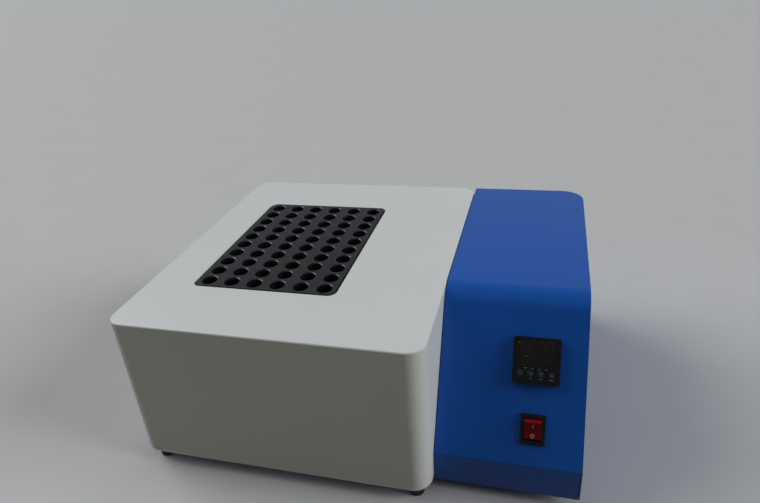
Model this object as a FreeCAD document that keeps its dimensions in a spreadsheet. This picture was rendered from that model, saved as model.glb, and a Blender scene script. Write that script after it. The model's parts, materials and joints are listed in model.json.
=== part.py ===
import FreeCAD, Part
import math
import os
from types import SimpleNamespace

import PartDesign
import Sketcher

# Dry block heater: a white heated case with a black block of 60 wells, and a blue control case beside it.
# Millimetres. The pieces are laid out from the white case's front left lower corner, with X to the right,
# Y to the back and Z up, and the finished pieces then move so that the origin lies under the middle of the
# whole object, on the surface that it stands on.

SIZES = {
    # White heater case
    "housing_width": 348,
    "housing_depth": 412,
    "housing_height": 182,
    "housing_corner": 20,
    "housing_top_edge": 2,
    "sheet": 1.5,
    "lip_width": 10,
    "base_thickness": 2,
    "base_inset": 1,
    "base_screw_offset": 6.5,
    "base_screw_span_across": 228,
    "base_screw_span_along": 252,
    # Rubber feet
    "foot_height": 18,
    "foot_radius": 9.5,
    "foot_tip_radius": 8.5,
    "foot_inset": 18,
    "foot_recess_radius": 5,
    "foot_recess_depth": 10,
    # Opening in the top and the block in it
    "cutout_share": 0.32907,
    "cutout_width": 176,
    "cutout_depth": 238,
    "cutout_corner": 10,
    "block_gap": 2,
    "block_height": 85,
    "block_corner": 8,
    "block_edge": 0.8,
    "well_columns": 6,
    "well_rows": 10,
    "well_radius": 9,
    "well_pitch_across": 28.6,
    "well_pitch_along": 23.2,
    # Plate under the block, with the heaters and probes that enter it from its right face
    "plate_thickness": 30,
    "block_screw_grip": 10,
    "heater_count": 4,
    "heater_radius": 6,
    "heater_reach": 150,
    "heater_stub": 5,
    "heater_pitch": 50,
    "probe_height": 16,
    "probe_clearance": 0.15,
    "sensor_radius": 2,
    "sensor_reach": 90,
    "sensor_head_radius": 4.5,
    "sensor_head_length": 20,
    "thermostat_radius": 3,
    "thermostat_reach": 100,
    "thermostat_head_length": 24,
    "thermostat_head_width": 20,
    "thermostat_head_height": 30,
    # Insulation round the block
    "insulation_thickness": 30,
    "insulation_top_gap": 0.5,
    "insulation_hole_clearance": 0.5,
    # Pillars that carry the block
    "pillar_radius": 7,
    "pillar_spacing_across": 120,
    "pillar_spacing_along": 200,
    "stud_radius": 3,
    "stud_grip": 12,
    "stud_tail": 7,
    "nut_height": 5,
    "nut_radius": 5.8,
    # Heater leads and the loom to the control case
    "lead_radius": 2.5,
    "lead_bend": 22,
    "lead_straight": 10,
    "terminal_length": 22,
    "terminal_width": 18,
    "terminal_height": 20,
    "loom_radius": 4,
    "loom_height": 18,
    "grommet_hole_radius": 10,
    "grommet_flange_radius": 13,
    "grommet_flange": 2,
    # Blue control case
    "case_gap": 1,
    "control_width": 151,
    "control_drop": 4.5,
    "control_back_inset": 2,
    "control_corner": 30,
    "panel_foot": 26,
    "panel_angle": 56.6,
    "fold_radius": 32,
    "kick_top": 33.3,
    "seam": 0.4,
    "tray_flange": 15,
    "vent_count": 6,
    "vent_length": 60,
    "vent_width": 4,
    "vent_pitch": 10,
    "vent_front": 120,
    # Bolts that join the two cases
    "join_front": 150,
    "join_back": 340,
    "join_low": 60,
    "join_high": 150,
    # Temperature controller
    "instrument_across": 100,
    "controller_up": 108,
    "bezel_side": 48,
    "bezel_proud": 6.8,
    "bezel_corner": 2,
    "bezel_edge": 0.6,
    "bezel_face": 2,
    "bezel_wall": 1.6,
    "instrument_case_side": 44.4,
    "instrument_case_depth": 78,
    "instrument_case_wall": 1.5,
    "instrument_case_rim": 0.4,
    "window_width": 40,
    "window_height": 27,
    "window_up": 8,
    "window_thickness": 1.2,
    "board_side": 43,
    "board_thickness": 1.6,
    "display_margin": 1,
    "key_count": 4,
    "key_pitch": 10.5,
    "key_down": 13.1,
    "key_radius": 4,
    "key_proud": 0.5,
    "key_travel": 0.4,
    "key_flange": 0.7,
    "key_flange_thickness": 0.8,
    "key_stem_radius": 2.5,
    "key_clearance": 0.25,
    "clamp_rim": 5,
    "clamp_depth": 14,
    "rear_terminal_width": 38,
    "rear_terminal_height": 14,
    "rear_terminal_depth": 9,
    # Rocker switch
    "switch_up": 37.7,
    "switch_width": 25.2,
    "switch_height": 31,
    "switch_flange": 2.4,
    "switch_corner": 1,
    "switch_edge": 0.8,
    "barrel_width": 21.4,
    "barrel_height": 29.4,
    "barrel_depth": 24,
    "switch_mouth_width": 18.4,
    "switch_mouth_height": 22.8,
    "switch_mouth_depth": 8,
    "rocker_width": 17.6,
    "rocker_half": 8.6,
    "rocker_end_rise": 4.6,
    "rocker_dip": 3.2,
    "rocker_shoulder": 11,
    "rocker_shoulder_drop": 0.5,
    "rocker_keel": 4,
    "rocker_drop": 6,
    "rocker_tilt": 10,
    "pivot_depth": 2.5,
    "pivot_radius": 1.5,
    "pivot_clearance": 0.05,
    "blade_width": 6.3,
    "blade_thickness": 0.8,
    "blade_length": 8,
    # Relay on its heat sink
    "sink_across": 26,
    "sink_front": 250,
    "sink_width": 80,
    "sink_length": 100,
    "sink_height": 40,
    "sink_floor": 6,
    "fin_count": 9,
    "fin_thickness": 2,
    "relay_width": 45,
    "relay_length": 58,
    "relay_height": 23,
    # Wiring block in the control case
    "junction_across": 14,
    "junction_width": 18,
    "junction_length": 60,
    "junction_height": 22,
    # Power inlet with its fuse drawer, in the back of the control case
    "inlet_across": 51,
    "inlet_up": 62,
    "inlet_flange_width": 50,
    "inlet_flange_height": 36,
    "inlet_flange": 2,
    "inlet_body_width": 32,
    "inlet_body_height": 32,
    "inlet_body_depth": 30,
    "socket_width": 24.4,
    "socket_height": 16.4,
    "socket_depth": 18,
    "socket_up": 5,
    "pin_width": 2,
    "pin_height": 4,
    "pin_length": 15,
    "pin_spread": 7,
    "pin_rise": 4,
    "drawer_width": 20.4,
    "drawer_height": 6.6,
    "drawer_length": 25,
    "drawer_down": 10,
    "drawer_clearance": 0.3,
    "fuse_radius": 2.5,
    "fuse_length": 20,
    "fuse_clearance": 0.2,
    "fuse_setback": 2,
    # Fasteners
    "small_screw_radius": 1.5,
    "small_head_radius": 2.75,
    "small_head_height": 1.8,
    "small_nut_height": 2.4,
    "small_nut_radius": 3.1,
    "screw_radius": 2,
    "screw_head_radius": 3.75,
    "screw_head_height": 3,
    "screw_nut_height": 3.2,
    "screw_nut_radius": 4.04,
    "screw_tail": 1,
    "hole_clearance": 0.25,
    "thread_clearance": 0.05,
}

doc = FreeCAD.newDocument("DryBlockHeater")
sheet = doc.addObject("Spreadsheet::Sheet", "Sizes")
for row, (alias, number) in enumerate(SIZES.items(), start=1):
    sheet.set(f"A{row}", alias)
    sheet.set(f"B{row}", str(number))
    sheet.setAlias(f"B{row}", alias)
doc.recompute()


class Size:
    """A size that holds both its number and the formula on the sheet's cells that gives it."""

    def __init__(self, formula, number):
        self.formula = formula
        self.number = number

    def __add__(self, other):
        other = as_size(other)
        return Size(f"({self.formula} + {other.formula})", self.number + other.number)

    def __sub__(self, other):
        other = as_size(other)
        return Size(f"({self.formula} - {other.formula})", self.number - other.number)

    def __mul__(self, other):
        other = as_size(other)
        return Size(f"({self.formula} * {other.formula})", self.number * other.number)

    def __truediv__(self, other):
        other = as_size(other)
        return Size(f"({self.formula} / {other.formula})", self.number / other.number)

    def __neg__(self):
        return as_size(0) - self

    def __rsub__(self, other):
        return as_size(other) - self

    __radd__ = __add__
    __rmul__ = __mul__


def as_size(amount):
    """A plain number as a size, and a size as it is."""
    if isinstance(amount, Size):
        return amount
    return Size(str(float(amount)), float(amount))


def cosine(angle):
    return Size(f"cos({angle.formula} * 1 deg)", math.cos(math.radians(angle.number)))


def sine(angle):
    return Size(f"sin({angle.formula} * 1 deg)", math.sin(math.radians(angle.number)))


s = SimpleNamespace(**{alias: Size(f"Sizes.{alias}", number) for alias, number in SIZES.items()})

# Places that several pieces share, in the layout's frame
overall_width = s.housing_width + s.case_gap + s.control_width
inside_top = s.housing_height - s.sheet
middle_y = s.housing_depth / 2
cutout_front = middle_y - s.cutout_depth / 2
cutout_back = middle_y + s.cutout_depth / 2
cutout_left = (s.housing_width - s.cutout_width) * s.cutout_share
cutout_right = cutout_left + s.cutout_width
cutout_middle = cutout_left + s.cutout_width / 2
block_left = cutout_left + s.block_gap
block_right = cutout_right - s.block_gap
block_front = cutout_front + s.block_gap
block_width = s.cutout_width - 2 * s.block_gap
block_depth = s.cutout_depth - 2 * s.block_gap
block_low = s.housing_height - s.block_height
plate_low = block_low - s.plate_thickness
probe_level = plate_low + s.probe_height
insulation_right = cutout_right + s.insulation_thickness
heater_end = insulation_right + s.heater_stub
lead_drop_x = heater_end + s.lead_straight + s.lead_bend
terminal_top = s.base_thickness + s.terminal_height
loom_x = lead_drop_x + s.terminal_length / 2 + s.loom_radius
control_left = s.housing_width + s.case_gap
control_right = control_left + s.control_width
control_back = s.housing_depth - s.control_back_inset
control_low = -s.control_drop
control_floor = control_low + s.sheet
control_inside_back = control_back - s.sheet
panel_run = cosine(s.panel_angle)
panel_rise = sine(s.panel_angle)
panel_slope = panel_run / panel_rise
fold_y = s.panel_foot + (s.housing_height - s.kick_top) * panel_slope
bezel_inside = s.bezel_proud - s.bezel_face
board_top = s.instrument_case_rim + s.board_thickness
window_seat = s.bezel_proud - s.window_thickness
instrument_x = control_left + s.instrument_across
inlet_x = control_left + s.inlet_across
socket_level = s.inlet_up + s.socket_up
drawer_level = s.inlet_up - s.drawer_down
inlet_face = control_back + s.inlet_flange
sink_left = control_left + s.sink_across
sink_top = control_floor + s.sink_height
junction_left = control_left + s.sheet + s.junction_across

TURNS = {
    "+X": FreeCAD.Rotation(FreeCAD.Vector(0, 1, 0), 90),
    "-X": FreeCAD.Rotation(FreeCAD.Vector(0, 1, 0), -90),
    "+Y": FreeCAD.Rotation(FreeCAD.Vector(1, 0, 0), -90),
    "-Y": FreeCAD.Rotation(FreeCAD.Vector(1, 0, 0), 90),
    "+Z": FreeCAD.Rotation(),
    "-Z": FreeCAD.Rotation(FreeCAD.Vector(1, 0, 0), 180),
}
OPPOSITE = {"+X": "-X", "-X": "+X", "+Y": "-Y", "-Y": "+Y", "+Z": "-Z", "-Z": "+Z"}
# Two levels this near to each other count as one.
SAME_LEVEL = 1e-4
places = {}
sub_parts = []


# Building blocks

def bind(item, **sizes):
    """Ties properties of an object to the sheet."""
    for name, amount in sizes.items():
        item.setExpression(name, as_size(amount).formula)
    return item


def put(item, x, y, z):
    """Ties an object's place to the sheet."""
    places[item.Name] = (x, y, z)
    for axis, amount in zip("xyz", (x, y, z)):
        item.setExpression(f"Placement.Base.{axis}", as_size(amount).formula)
    return item


def slab(name, x, y, z, length, width, height):
    """A box with its low corner at x, y, z."""
    box = doc.addObject("Part::Box", name)
    bind(box, Length=length, Width=width, Height=height)
    return put(box, x, y, z)


def rod(name, x, y, z, radius, length, toward="+Z"):
    """A cylinder that starts at x, y, z."""
    cylinder = doc.addObject("Part::Cylinder", name)
    cylinder.Placement = FreeCAD.Placement(FreeCAD.Vector(), TURNS[toward])
    bind(cylinder, Radius=radius, Height=length)
    return put(cylinder, x, y, z)


def taper(name, x, y, z, radius, end_radius, length, toward="+Z"):
    """A cone's trunk that starts at x, y, z."""
    cone = doc.addObject("Part::Cone", name)
    cone.Placement = FreeCAD.Placement(FreeCAD.Vector(), TURNS[toward])
    bind(cone, Radius1=radius, Radius2=end_radius, Height=length)
    return put(cone, x, y, z)


def hexagon(name, x, y, z, radius, length, toward="+Z"):
    """A six-sided prism that starts at x, y, z, with the radius over its corners."""
    prism = doc.addObject("Part::Prism", name)
    prism.Polygon = 6
    prism.Placement = FreeCAD.Placement(FreeCAD.Vector(), TURNS[toward])
    bind(prism, Circumradius=radius, Height=length)
    return put(prism, x, y, z)


def group(name, pieces):
    """Separate solids kept together as one object."""
    compound = doc.addObject("Part::Compound", name)
    compound.Links = pieces
    return compound


def join(name, pieces):
    """Touching or crossing pieces made one solid."""
    fusion = doc.addObject("Part::MultiFuse", name)
    fusion.Shapes = pieces
    return fusion


def cut(name, base, tools):
    """A piece with the tools taken out of it. The tools stay clear of each other."""
    difference = doc.addObject("Part::Cut", name)
    difference.Base = base
    difference.Tool = tools[0] if len(tools) == 1 else group(f"{name}_tools", tools)
    return difference


def screw(name, x, y, z, length, toward, radius, head_radius, head_height):
    """A screw with the underside of its head at x, y, z."""
    shank = rod(f"{name}_shank", x, y, z, radius, length, toward)
    head = rod(f"{name}_head", x, y, z, head_radius, head_height, OPPOSITE[toward])
    return join(name, [shank, head])


def nut(name, x, y, z, radius, height, bore, toward):
    """A hexagon nut whose face is at x, y, z."""
    blank = hexagon(f"{name}_blank", x, y, z, radius, height, toward)
    return cut(name, blank, [rod(f"{name}_bore", x, y, z, bore, height, toward)])


# Bodies drawn from sketches

def new_sketch(body, name, plane, offset):
    """An empty sketch on one of the body's own planes, moved along that plane's normal."""
    sketch = body.newObject("Sketcher::SketchObject", name)
    support = [part for part in body.Origin.OriginFeatures if part.Role == plane]
    sketch.AttachmentSupport = [(support[0], "")]
    sketch.MapMode = "FlatFace"
    sketch.setExpression("AttachmentOffset.Base.z", as_size(offset).formula)
    return sketch


def dimension(sketch, name, kind, *where_and_size):
    """A named sketch dimension tied to the sheet."""
    where, amount = where_and_size[:-1], as_size(where_and_size[-1])
    index = sketch.addConstraint(Sketcher.Constraint(kind, *where, amount.number))
    sketch.renameConstraint(index, name)
    sketch.setExpression(f"Constraints.{name}", amount.formula)


def outline(body, name, plane, offset, points):
    """A closed sketch of straight sides through points, each given by two sizes."""
    sketch = new_sketch(body, name, plane, offset)
    corners = [FreeCAD.Vector(as_size(a).number, as_size(b).number, 0) for a, b in points]
    for start, end in zip(corners, corners[1:] + corners[:1]):
        sketch.addGeometry(Part.LineSegment(start, end))
    for side, (across, up) in enumerate(points):
        before = (side - 1) % len(points)
        sketch.addConstraint(Sketcher.Constraint("Coincident", before, 2, side, 1))
        dimension(sketch, f"across_{side}", "DistanceX", -1, 1, side, 1, across)
        dimension(sketch, f"up_{side}", "DistanceY", -1, 1, side, 1, up)
    return sketch


def rounded_outline(body, name, offset, x, y, length, width, corner):
    """A sketch of a rectangle with round corners, seen from above."""
    sketch = new_sketch(body, name, "XY_Plane", offset)
    low_x, low_y, radius = (as_size(amount).number for amount in (x, y, corner))
    high_x = low_x + as_size(length).number
    high_y = low_y + as_size(width).number
    ends = [
        ((low_x + radius, low_y), (high_x - radius, low_y)),
        ((high_x, low_y + radius), (high_x, high_y - radius)),
        ((high_x - radius, high_y), (low_x + radius, high_y)),
        ((low_x, high_y - radius), (low_x, low_y + radius)),
    ]
    centres = [
        (high_x - radius, low_y + radius),
        (high_x - radius, high_y - radius),
        (low_x + radius, high_y - radius),
        (low_x + radius, low_y + radius),
    ]
    for start, end in ends:
        sketch.addGeometry(Part.LineSegment(FreeCAD.Vector(*start, 0), FreeCAD.Vector(*end, 0)))
    for turn, centre in enumerate(centres):
        circle = Part.Circle(FreeCAD.Vector(*centre, 0), FreeCAD.Vector(0, 0, 1), radius)
        begin = (turn - 1) * math.pi / 2
        sketch.addGeometry(Part.ArcOfCircle(circle, begin, begin + math.pi / 2))
    for side in range(4):
        sketch.addConstraint(Sketcher.Constraint("Horizontal" if side % 2 == 0 else "Vertical", side))
        sketch.addConstraint(Sketcher.Constraint("Tangent", side, 2, side + 4, 1))
        sketch.addConstraint(Sketcher.Constraint("Tangent", side + 4, 2, (side + 1) % 4, 1))
    for arc in (5, 6, 7):
        sketch.addConstraint(Sketcher.Constraint("Equal", 4, arc))
    dimension(sketch, "corner", "Radius", 4, corner)
    dimension(sketch, "length", "DistanceX", 3, 1, 1, 1, length)
    dimension(sketch, "width", "DistanceY", 0, 1, 2, 1, width)
    dimension(sketch, "left", "DistanceX", -1, 1, 3, 1, x)
    dimension(sketch, "front", "DistanceY", -1, 1, 0, 1, y)
    return sketch


def pad(body, sketch, length):
    """The sketch drawn out along its normal."""
    feature = body.newObject("PartDesign::Pad", f"{sketch.Name}_pad")
    feature.Profile = sketch
    sketch.Visibility = False
    bind(feature, Length=length)
    doc.recompute()
    return feature


def dress(body, kind, feature, edges, **sizes):
    """A fillet, chamfer or thickness on the named edges or faces of a feature."""
    dressing = body.newObject(f"PartDesign::{kind}", f"{feature.Name}_{kind}")
    dressing.Base = (feature, edges)
    bind(dressing, **sizes)
    doc.recompute()
    return dressing


def edges_at(feature, axis, level):
    """The names of the edges that lie in one plane square to an axis."""
    level = as_size(level).number
    found = []
    for index, edge in enumerate(feature.Shape.Edges, start=1):
        box = edge.BoundBox
        low, high = getattr(box, f"{axis}Min"), getattr(box, f"{axis}Max")
        if abs(low - level) < SAME_LEVEL and abs(high - level) < SAME_LEVEL:
            found.append(f"Edge{index}")
    return found


def edges_in_both(feature, *planes):
    """The names of the edges that lie in every one of the planes, each given as an axis and a level."""
    sets = [set(edges_at(feature, axis, level)) for axis, level in planes]
    return sorted(set.intersection(*sets))


def face_at(feature, axis, level):
    """The name of the largest flat face that lies in a plane square to an axis."""
    level = as_size(level).number
    best = None
    for index, face in enumerate(feature.Shape.Faces, start=1):
        box = face.BoundBox
        low, high = getattr(box, f"{axis}Min"), getattr(box, f"{axis}Max")
        flat = abs(low - level) < SAME_LEVEL and abs(high - level) < SAME_LEVEL
        if flat and (best is None or face.Area > best[0]):
            best = (face.Area, f"Face{index}")
    return best[1]


def shell(body, feature, open_faces):
    """The feature hollowed to the sheet's thickness, with some faces left open."""
    walls = dress(body, "Thickness", feature, open_faces, Value=s.sheet)
    walls.Mode = "Skin"
    walls.Join = "Intersection"
    walls.Reversed = True
    doc.recompute()
    return walls


def rounded_slab(name, x, y, z, length, width, height, corner, top_edge=None):
    """A box with round upright corners and, where asked, a round edge along its top."""
    body = doc.addObject("PartDesign::Body", name)
    feature = pad(body, rounded_outline(body, f"{name}_outline", z, x, y, length, width, corner), height)
    if top_edge is not None:
        top = as_size(z) + height
        dress(body, "Fillet", feature, edges_at(feature, "Z", top), Radius=top_edge)
    return body


# Finished pieces

def sub_part(label, item):
    """Names a finished piece and moves it from the layout's frame to the object's own."""
    x, y, z = places.get(item.Name, (0, 0, 0))
    item.Label = label
    put(item, x - overall_width / 2, y - s.housing_depth / 2, z + s.foot_height)
    sub_parts.append(item)
    return item


def panel_place(item, up):
    """Lays a piece that was drawn flat on the sloping panel, so many millimetres up from the panel's foot."""
    item.Placement = FreeCAD.Placement(FreeCAD.Vector(), FreeCAD.Rotation(FreeCAD.Vector(1, 0, 0), 1))
    item.setExpression("Placement.Rotation.Angle", s.panel_angle.formula)
    return put(item, instrument_x, s.panel_foot + up * panel_run, s.kick_top + up * panel_rise)


def panel_part(label, item, up):
    """A finished piece on the sloping panel."""
    if item.Name in places:
        item = group(f"{label}_seat", [item])
    return sub_part(label, panel_place(item, up))


# White heater case

def base_screw_spots():
    """Where the base plate is screwed to the housing's lip, as pairs of X and Y."""
    half_across = s.base_screw_span_across / 2
    half_along = s.base_screw_span_along / 2
    middle_x = s.housing_width / 2
    spots = []
    for sign in (-1, 1):
        spots.append((middle_x + sign * half_across, s.base_screw_offset))
        spots.append((middle_x + sign * half_across, s.housing_depth - s.base_screw_offset))
        spots.append((s.base_screw_offset, middle_y + sign * half_along))
        spots.append((s.housing_width - s.base_screw_offset, middle_y + sign * half_along))
    return spots


def foot_spots():
    """Where the feet stand, by name."""
    left = s.foot_inset
    right = s.housing_width - s.foot_inset
    front = s.foot_inset
    back = s.housing_depth - s.foot_inset
    return {
        "front_left": (left, front),
        "front_right": (right, front),
        "back_left": (left, back),
        "back_right": (right, back),
    }


def pillar_spots():
    """Where the pillars under the block stand."""
    return [
        (cutout_middle + across * s.pillar_spacing_across / 2, middle_y + along * s.pillar_spacing_along / 2)
        for across in (-1, 1)
        for along in (-1, 1)
    ]


def joint_spots():
    """Where the bolts between the two cases pass, as pairs of Y and Z."""
    return [(y, z) for y in (s.join_front, s.join_back) for z in (s.join_low, s.join_high)]


def make_housing():
    """The white shell, open below, with an inward lip, the block's opening and holes in its right wall."""
    lift = s.base_thickness
    rise = s.housing_height - lift
    body = rounded_slab(
        "Housing_shell",
        0,
        0,
        lift,
        s.housing_width,
        s.housing_depth,
        rise,
        s.housing_corner,
        s.housing_top_edge,
    )
    shell(body, body.Tip, [face_at(body.Tip, "Z", lift)])
    reach = s.sheet + s.lip_width
    lip_plate = rounded_slab(
        "Housing_lip_plate", 0, 0, lift, s.housing_width, s.housing_depth, s.sheet, s.housing_corner
    )
    lip_hole = rounded_slab(
        "Housing_lip_hole",
        reach,
        reach,
        lift,
        s.housing_width - 2 * reach,
        s.housing_depth - 2 * reach,
        s.sheet,
        s.housing_corner - reach,
    )
    lip = cut("Housing_lip", lip_plate, [lip_hole])
    opening = rounded_slab(
        "Housing_cutout",
        cutout_left,
        cutout_front,
        inside_top - s.sheet,
        s.cutout_width,
        s.cutout_depth,
        s.sheet * 3,
        s.cutout_corner,
    )
    tools = [opening]
    for index, (x, y) in enumerate(base_screw_spots()):
        bore = s.small_screw_radius + s.hole_clearance
        tools.append(rod(f"Housing_lip_bore_{index}", x, y, lift, bore, s.sheet))
    wall = s.housing_width - s.sheet
    for index, (y, z) in enumerate(joint_spots()):
        bore = s.screw_radius + s.hole_clearance
        tools.append(rod(f"Housing_joint_bore_{index}", wall, y, z, bore, s.sheet, "+X"))
    hole = rod("Housing_loom_hole", wall, middle_y, s.loom_height, s.grommet_hole_radius, s.sheet, "+X")
    tools.append(hole)
    sub_part("heater_housing", cut("Housing", join("Housing_blank", [body, lip]), tools))


def make_base():
    """The flat plate that closes the white case from below."""
    plate = rounded_slab(
        "Base_plate",
        s.base_inset,
        s.base_inset,
        0,
        s.housing_width - 2 * s.base_inset,
        s.housing_depth - 2 * s.base_inset,
        s.base_thickness,
        s.housing_corner - s.base_inset,
    )
    tools = []
    for index, (x, y) in enumerate(base_screw_spots()):
        bore = s.small_screw_radius + s.hole_clearance
        tools.append(rod(f"Base_lip_bore_{index}", x, y, 0, bore, s.base_thickness))
    for name, (x, y) in foot_spots().items():
        bore = s.screw_radius + s.hole_clearance
        tools.append(rod(f"Base_foot_bore_{name}", x, y, 0, bore, s.base_thickness))
    for index, (x, y) in enumerate(pillar_spots()):
        bore = s.stud_radius + s.hole_clearance
        tools.append(rod(f"Base_stud_bore_{index}", x, y, 0, bore, s.base_thickness))
    sub_part("housing_base", cut("Base", plate, tools))


def make_base_screws():
    """Small screws from below through the base plate and the lip, with a nut on each."""
    screws = []
    nuts = []
    grip = s.base_thickness + s.sheet
    for index, (x, y) in enumerate(base_screw_spots()):
        length = grip + s.small_nut_height + s.screw_tail
        screws.append(
            screw(
                f"Base_screw_{index}",
                x,
                y,
                0,
                length,
                "+Z",
                s.small_screw_radius,
                s.small_head_radius,
                s.small_head_height,
            )
        )
        bore = s.small_screw_radius + s.thread_clearance
        nuts.append(
            nut(f"Base_nut_{index}", x, y, grip, s.small_nut_radius, s.small_nut_height, bore, "+Z")
        )
    sub_part("base_screws", group("Base_screws", screws))
    sub_part("base_nuts", group("Base_nuts", nuts))


def make_feet():
    """Tapered rubber feet with a recess for the screw that holds each one."""
    screws = []
    nuts = []
    for name, (x, y) in foot_spots().items():
        cone = taper(f"Foot_{name}_cone", x, y, 0, s.foot_radius, s.foot_tip_radius, s.foot_height, "-Z")
        recess = rod(
            f"Foot_{name}_recess", x, y, -s.foot_height, s.foot_recess_radius, s.foot_recess_depth
        )
        seat = s.foot_recess_depth - s.foot_height
        bore = rod(f"Foot_{name}_bore", x, y, seat, s.screw_radius + s.hole_clearance, -seat)
        hollow = join(f"Foot_{name}_hollow", [recess, bore])
        sub_part(f"foot_{name}", cut(f"Foot_{name}", cone, [hollow]))
        length = s.base_thickness - seat + s.screw_nut_height + s.screw_tail
        screws.append(
            screw(
                f"Foot_screw_{name}",
                x,
                y,
                seat,
                length,
                "+Z",
                s.screw_radius,
                s.screw_head_radius,
                s.screw_head_height,
            )
        )
        thread = s.screw_radius + s.thread_clearance
        nuts.append(
            nut(
                f"Foot_nut_{name}",
                x,
                y,
                s.base_thickness,
                s.screw_nut_radius,
                s.screw_nut_height,
                thread,
                "+Z",
            )
        )
    sub_part("foot_screws", group("Foot_screws", screws))
    sub_part("foot_nuts", group("Foot_nuts", nuts))


# Block, its heaters and its insulation

def heater_levels():
    """The Y of each cartridge heater, spread evenly about the middle of the block."""
    count = SIZES["heater_count"]
    return [middle_y + (index - (count - 1) / 2) * s.heater_pitch for index in range(count)]


def sensor_y():
    """The sensor sits half way between the two middle heaters."""
    return middle_y


def thermostat_y():
    """The safety thermostat sits half way between the last two heaters."""
    return middle_y + s.heater_pitch


def probe_bores(name, start, length, clearance):
    """Holes along X that the heaters, the sensor and the thermostat pass through."""
    tools = []
    for index, y in enumerate(heater_levels()):
        radius = s.heater_radius + clearance
        tools.append(rod(f"{name}_heater_{index}", start, y, probe_level, radius, length, "+X"))
    radius = s.sensor_radius + clearance
    tools.append(rod(f"{name}_sensor", start, sensor_y(), probe_level, radius, length, "+X"))
    radius = s.thermostat_radius + clearance
    tools.append(rod(f"{name}_thermostat", start, thermostat_y(), probe_level, radius, length, "+X"))
    return tools


def block_screw_spots():
    """Where the screws from the plate into the block pass, each midway between four wells."""
    across = (s.well_columns / 2 - 2) * s.well_pitch_across
    along = (s.well_rows / 2 - 1) * s.well_pitch_along
    return [(cutout_middle + i * across, middle_y + j * along) for i in (-1, 1) for j in (-1, 1)]


def block_outline(name, level, height):
    """A solid with the block's outline, from a level up."""
    body = doc.addObject("PartDesign::Body", f"{name}_blank")
    sketch = rounded_outline(
        body, f"{name}_outline", level, block_left, block_front, block_width, block_depth, s.block_corner
    )
    return body, pad(body, sketch, height)


def make_block():
    """The black aluminium block, bored through by its wells, with tapped holes from below."""
    body, blank = block_outline("Block", block_low, s.block_height)
    dress(body, "Chamfer", blank, edges_at(blank, "Z", s.housing_height), Size=s.block_edge)
    bores = []
    first_x = cutout_middle - (s.well_columns - 1) * s.well_pitch_across / 2
    first_y = middle_y - (s.well_rows - 1) * s.well_pitch_along / 2
    for row in range(SIZES["well_rows"]):
        for column in range(SIZES["well_columns"]):
            x = first_x + column * s.well_pitch_across
            y = first_y + row * s.well_pitch_along
            bores.append(rod(f"Well_{row}_{column}", x, y, block_low, s.well_radius, s.block_height))
    for index, (x, y) in enumerate(block_screw_spots()):
        radius = s.screw_radius + s.thread_clearance
        bores.append(rod(f"Block_screw_bore_{index}", x, y, block_low, radius, s.block_screw_grip))
    sub_part("heating_block", cut("Block", body, bores))


def make_plate():
    """The plate that the wells end on, with bores for heaters, probes and studs, and the block's screws."""
    body, _ = block_outline("Plate", plate_low, s.plate_thickness)
    bores = probe_bores("Plate_bore", block_right - s.heater_reach, s.heater_reach, s.probe_clearance)
    for index, (x, y) in enumerate(pillar_spots()):
        radius = s.stud_radius + s.thread_clearance
        bores.append(rod(f"Plate_stud_bore_{index}", x, y, plate_low, radius, s.stud_grip))
    screws = []
    neck = plate_low + s.screw_head_height
    for index, (x, y) in enumerate(block_screw_spots()):
        recess = s.screw_head_radius + s.hole_clearance
        bores.append(rod(f"Plate_recess_{index}", x, y, plate_low, recess, s.screw_head_height))
        passage = s.screw_radius + s.hole_clearance
        bores.append(rod(f"Plate_passage_{index}", x, y, neck, passage, block_low - neck))
        screws.append(
            screw(
                f"Block_screw_{index}",
                x,
                y,
                neck,
                block_low - neck + s.block_screw_grip,
                "+Z",
                s.screw_radius,
                s.screw_head_radius,
                s.screw_head_height,
            )
        )
    sub_part("heater_plate", cut("Plate", body, bores))
    sub_part("block_screws", group("Block_screws", screws))


def make_heaters():
    """Cartridge heaters in the plate, each with a narrower ceramic end outside the insulation."""
    start = block_right - s.heater_reach
    heaters = []
    for index, y in enumerate(heater_levels(), start=1):
        sheath = rod(
            f"Heater_{index}_sheath", start, y, probe_level, s.heater_radius, insulation_right - start, "+X"
        )
        end_radius = s.heater_radius - s.sheet
        end = rod(f"Heater_{index}_end", insulation_right, y, probe_level, end_radius, s.heater_stub, "+X")
        heaters.append(join(f"Heater_{index}", [sheath, end]))
    sub_part("cartridge_heaters", group("Cartridge_heaters", heaters))


def make_leads():
    """A sleeved lead from each heater, out to the right and down to its ceramic terminal on the base."""
    leads = []
    terminals = []
    bend_x = heater_end + s.lead_straight
    bend_z = probe_level - s.lead_bend
    for index, y in enumerate(heater_levels(), start=1):
        out = rod(f"Lead_{index}_out", heater_end, y, probe_level, s.lead_radius, s.lead_straight, "+X")
        bend = doc.addObject("Part::Torus", f"Lead_{index}_bend")
        bend.Placement = FreeCAD.Placement(FreeCAD.Vector(), TURNS["-Y"])
        bend.Angle3 = 90
        bind(bend, Radius1=s.lead_bend, Radius2=s.lead_radius)
        put(bend, bend_x, y, bend_z)
        down = rod(f"Lead_{index}_down", lead_drop_x, y, terminal_top, s.lead_radius, bend_z - terminal_top)
        leads.append(join(f"Lead_{index}", [out, bend, down]))
        terminals.append(
            slab(
                f"Lead_terminal_{index}",
                lead_drop_x - s.terminal_length / 2,
                y - s.terminal_width / 2,
                s.base_thickness,
                s.terminal_length,
                s.terminal_width,
                s.terminal_height,
            )
        )
    sub_part("heater_leads", group("Heater_leads", leads))
    sub_part("lead_terminals", group("Lead_terminals", terminals))


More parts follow.
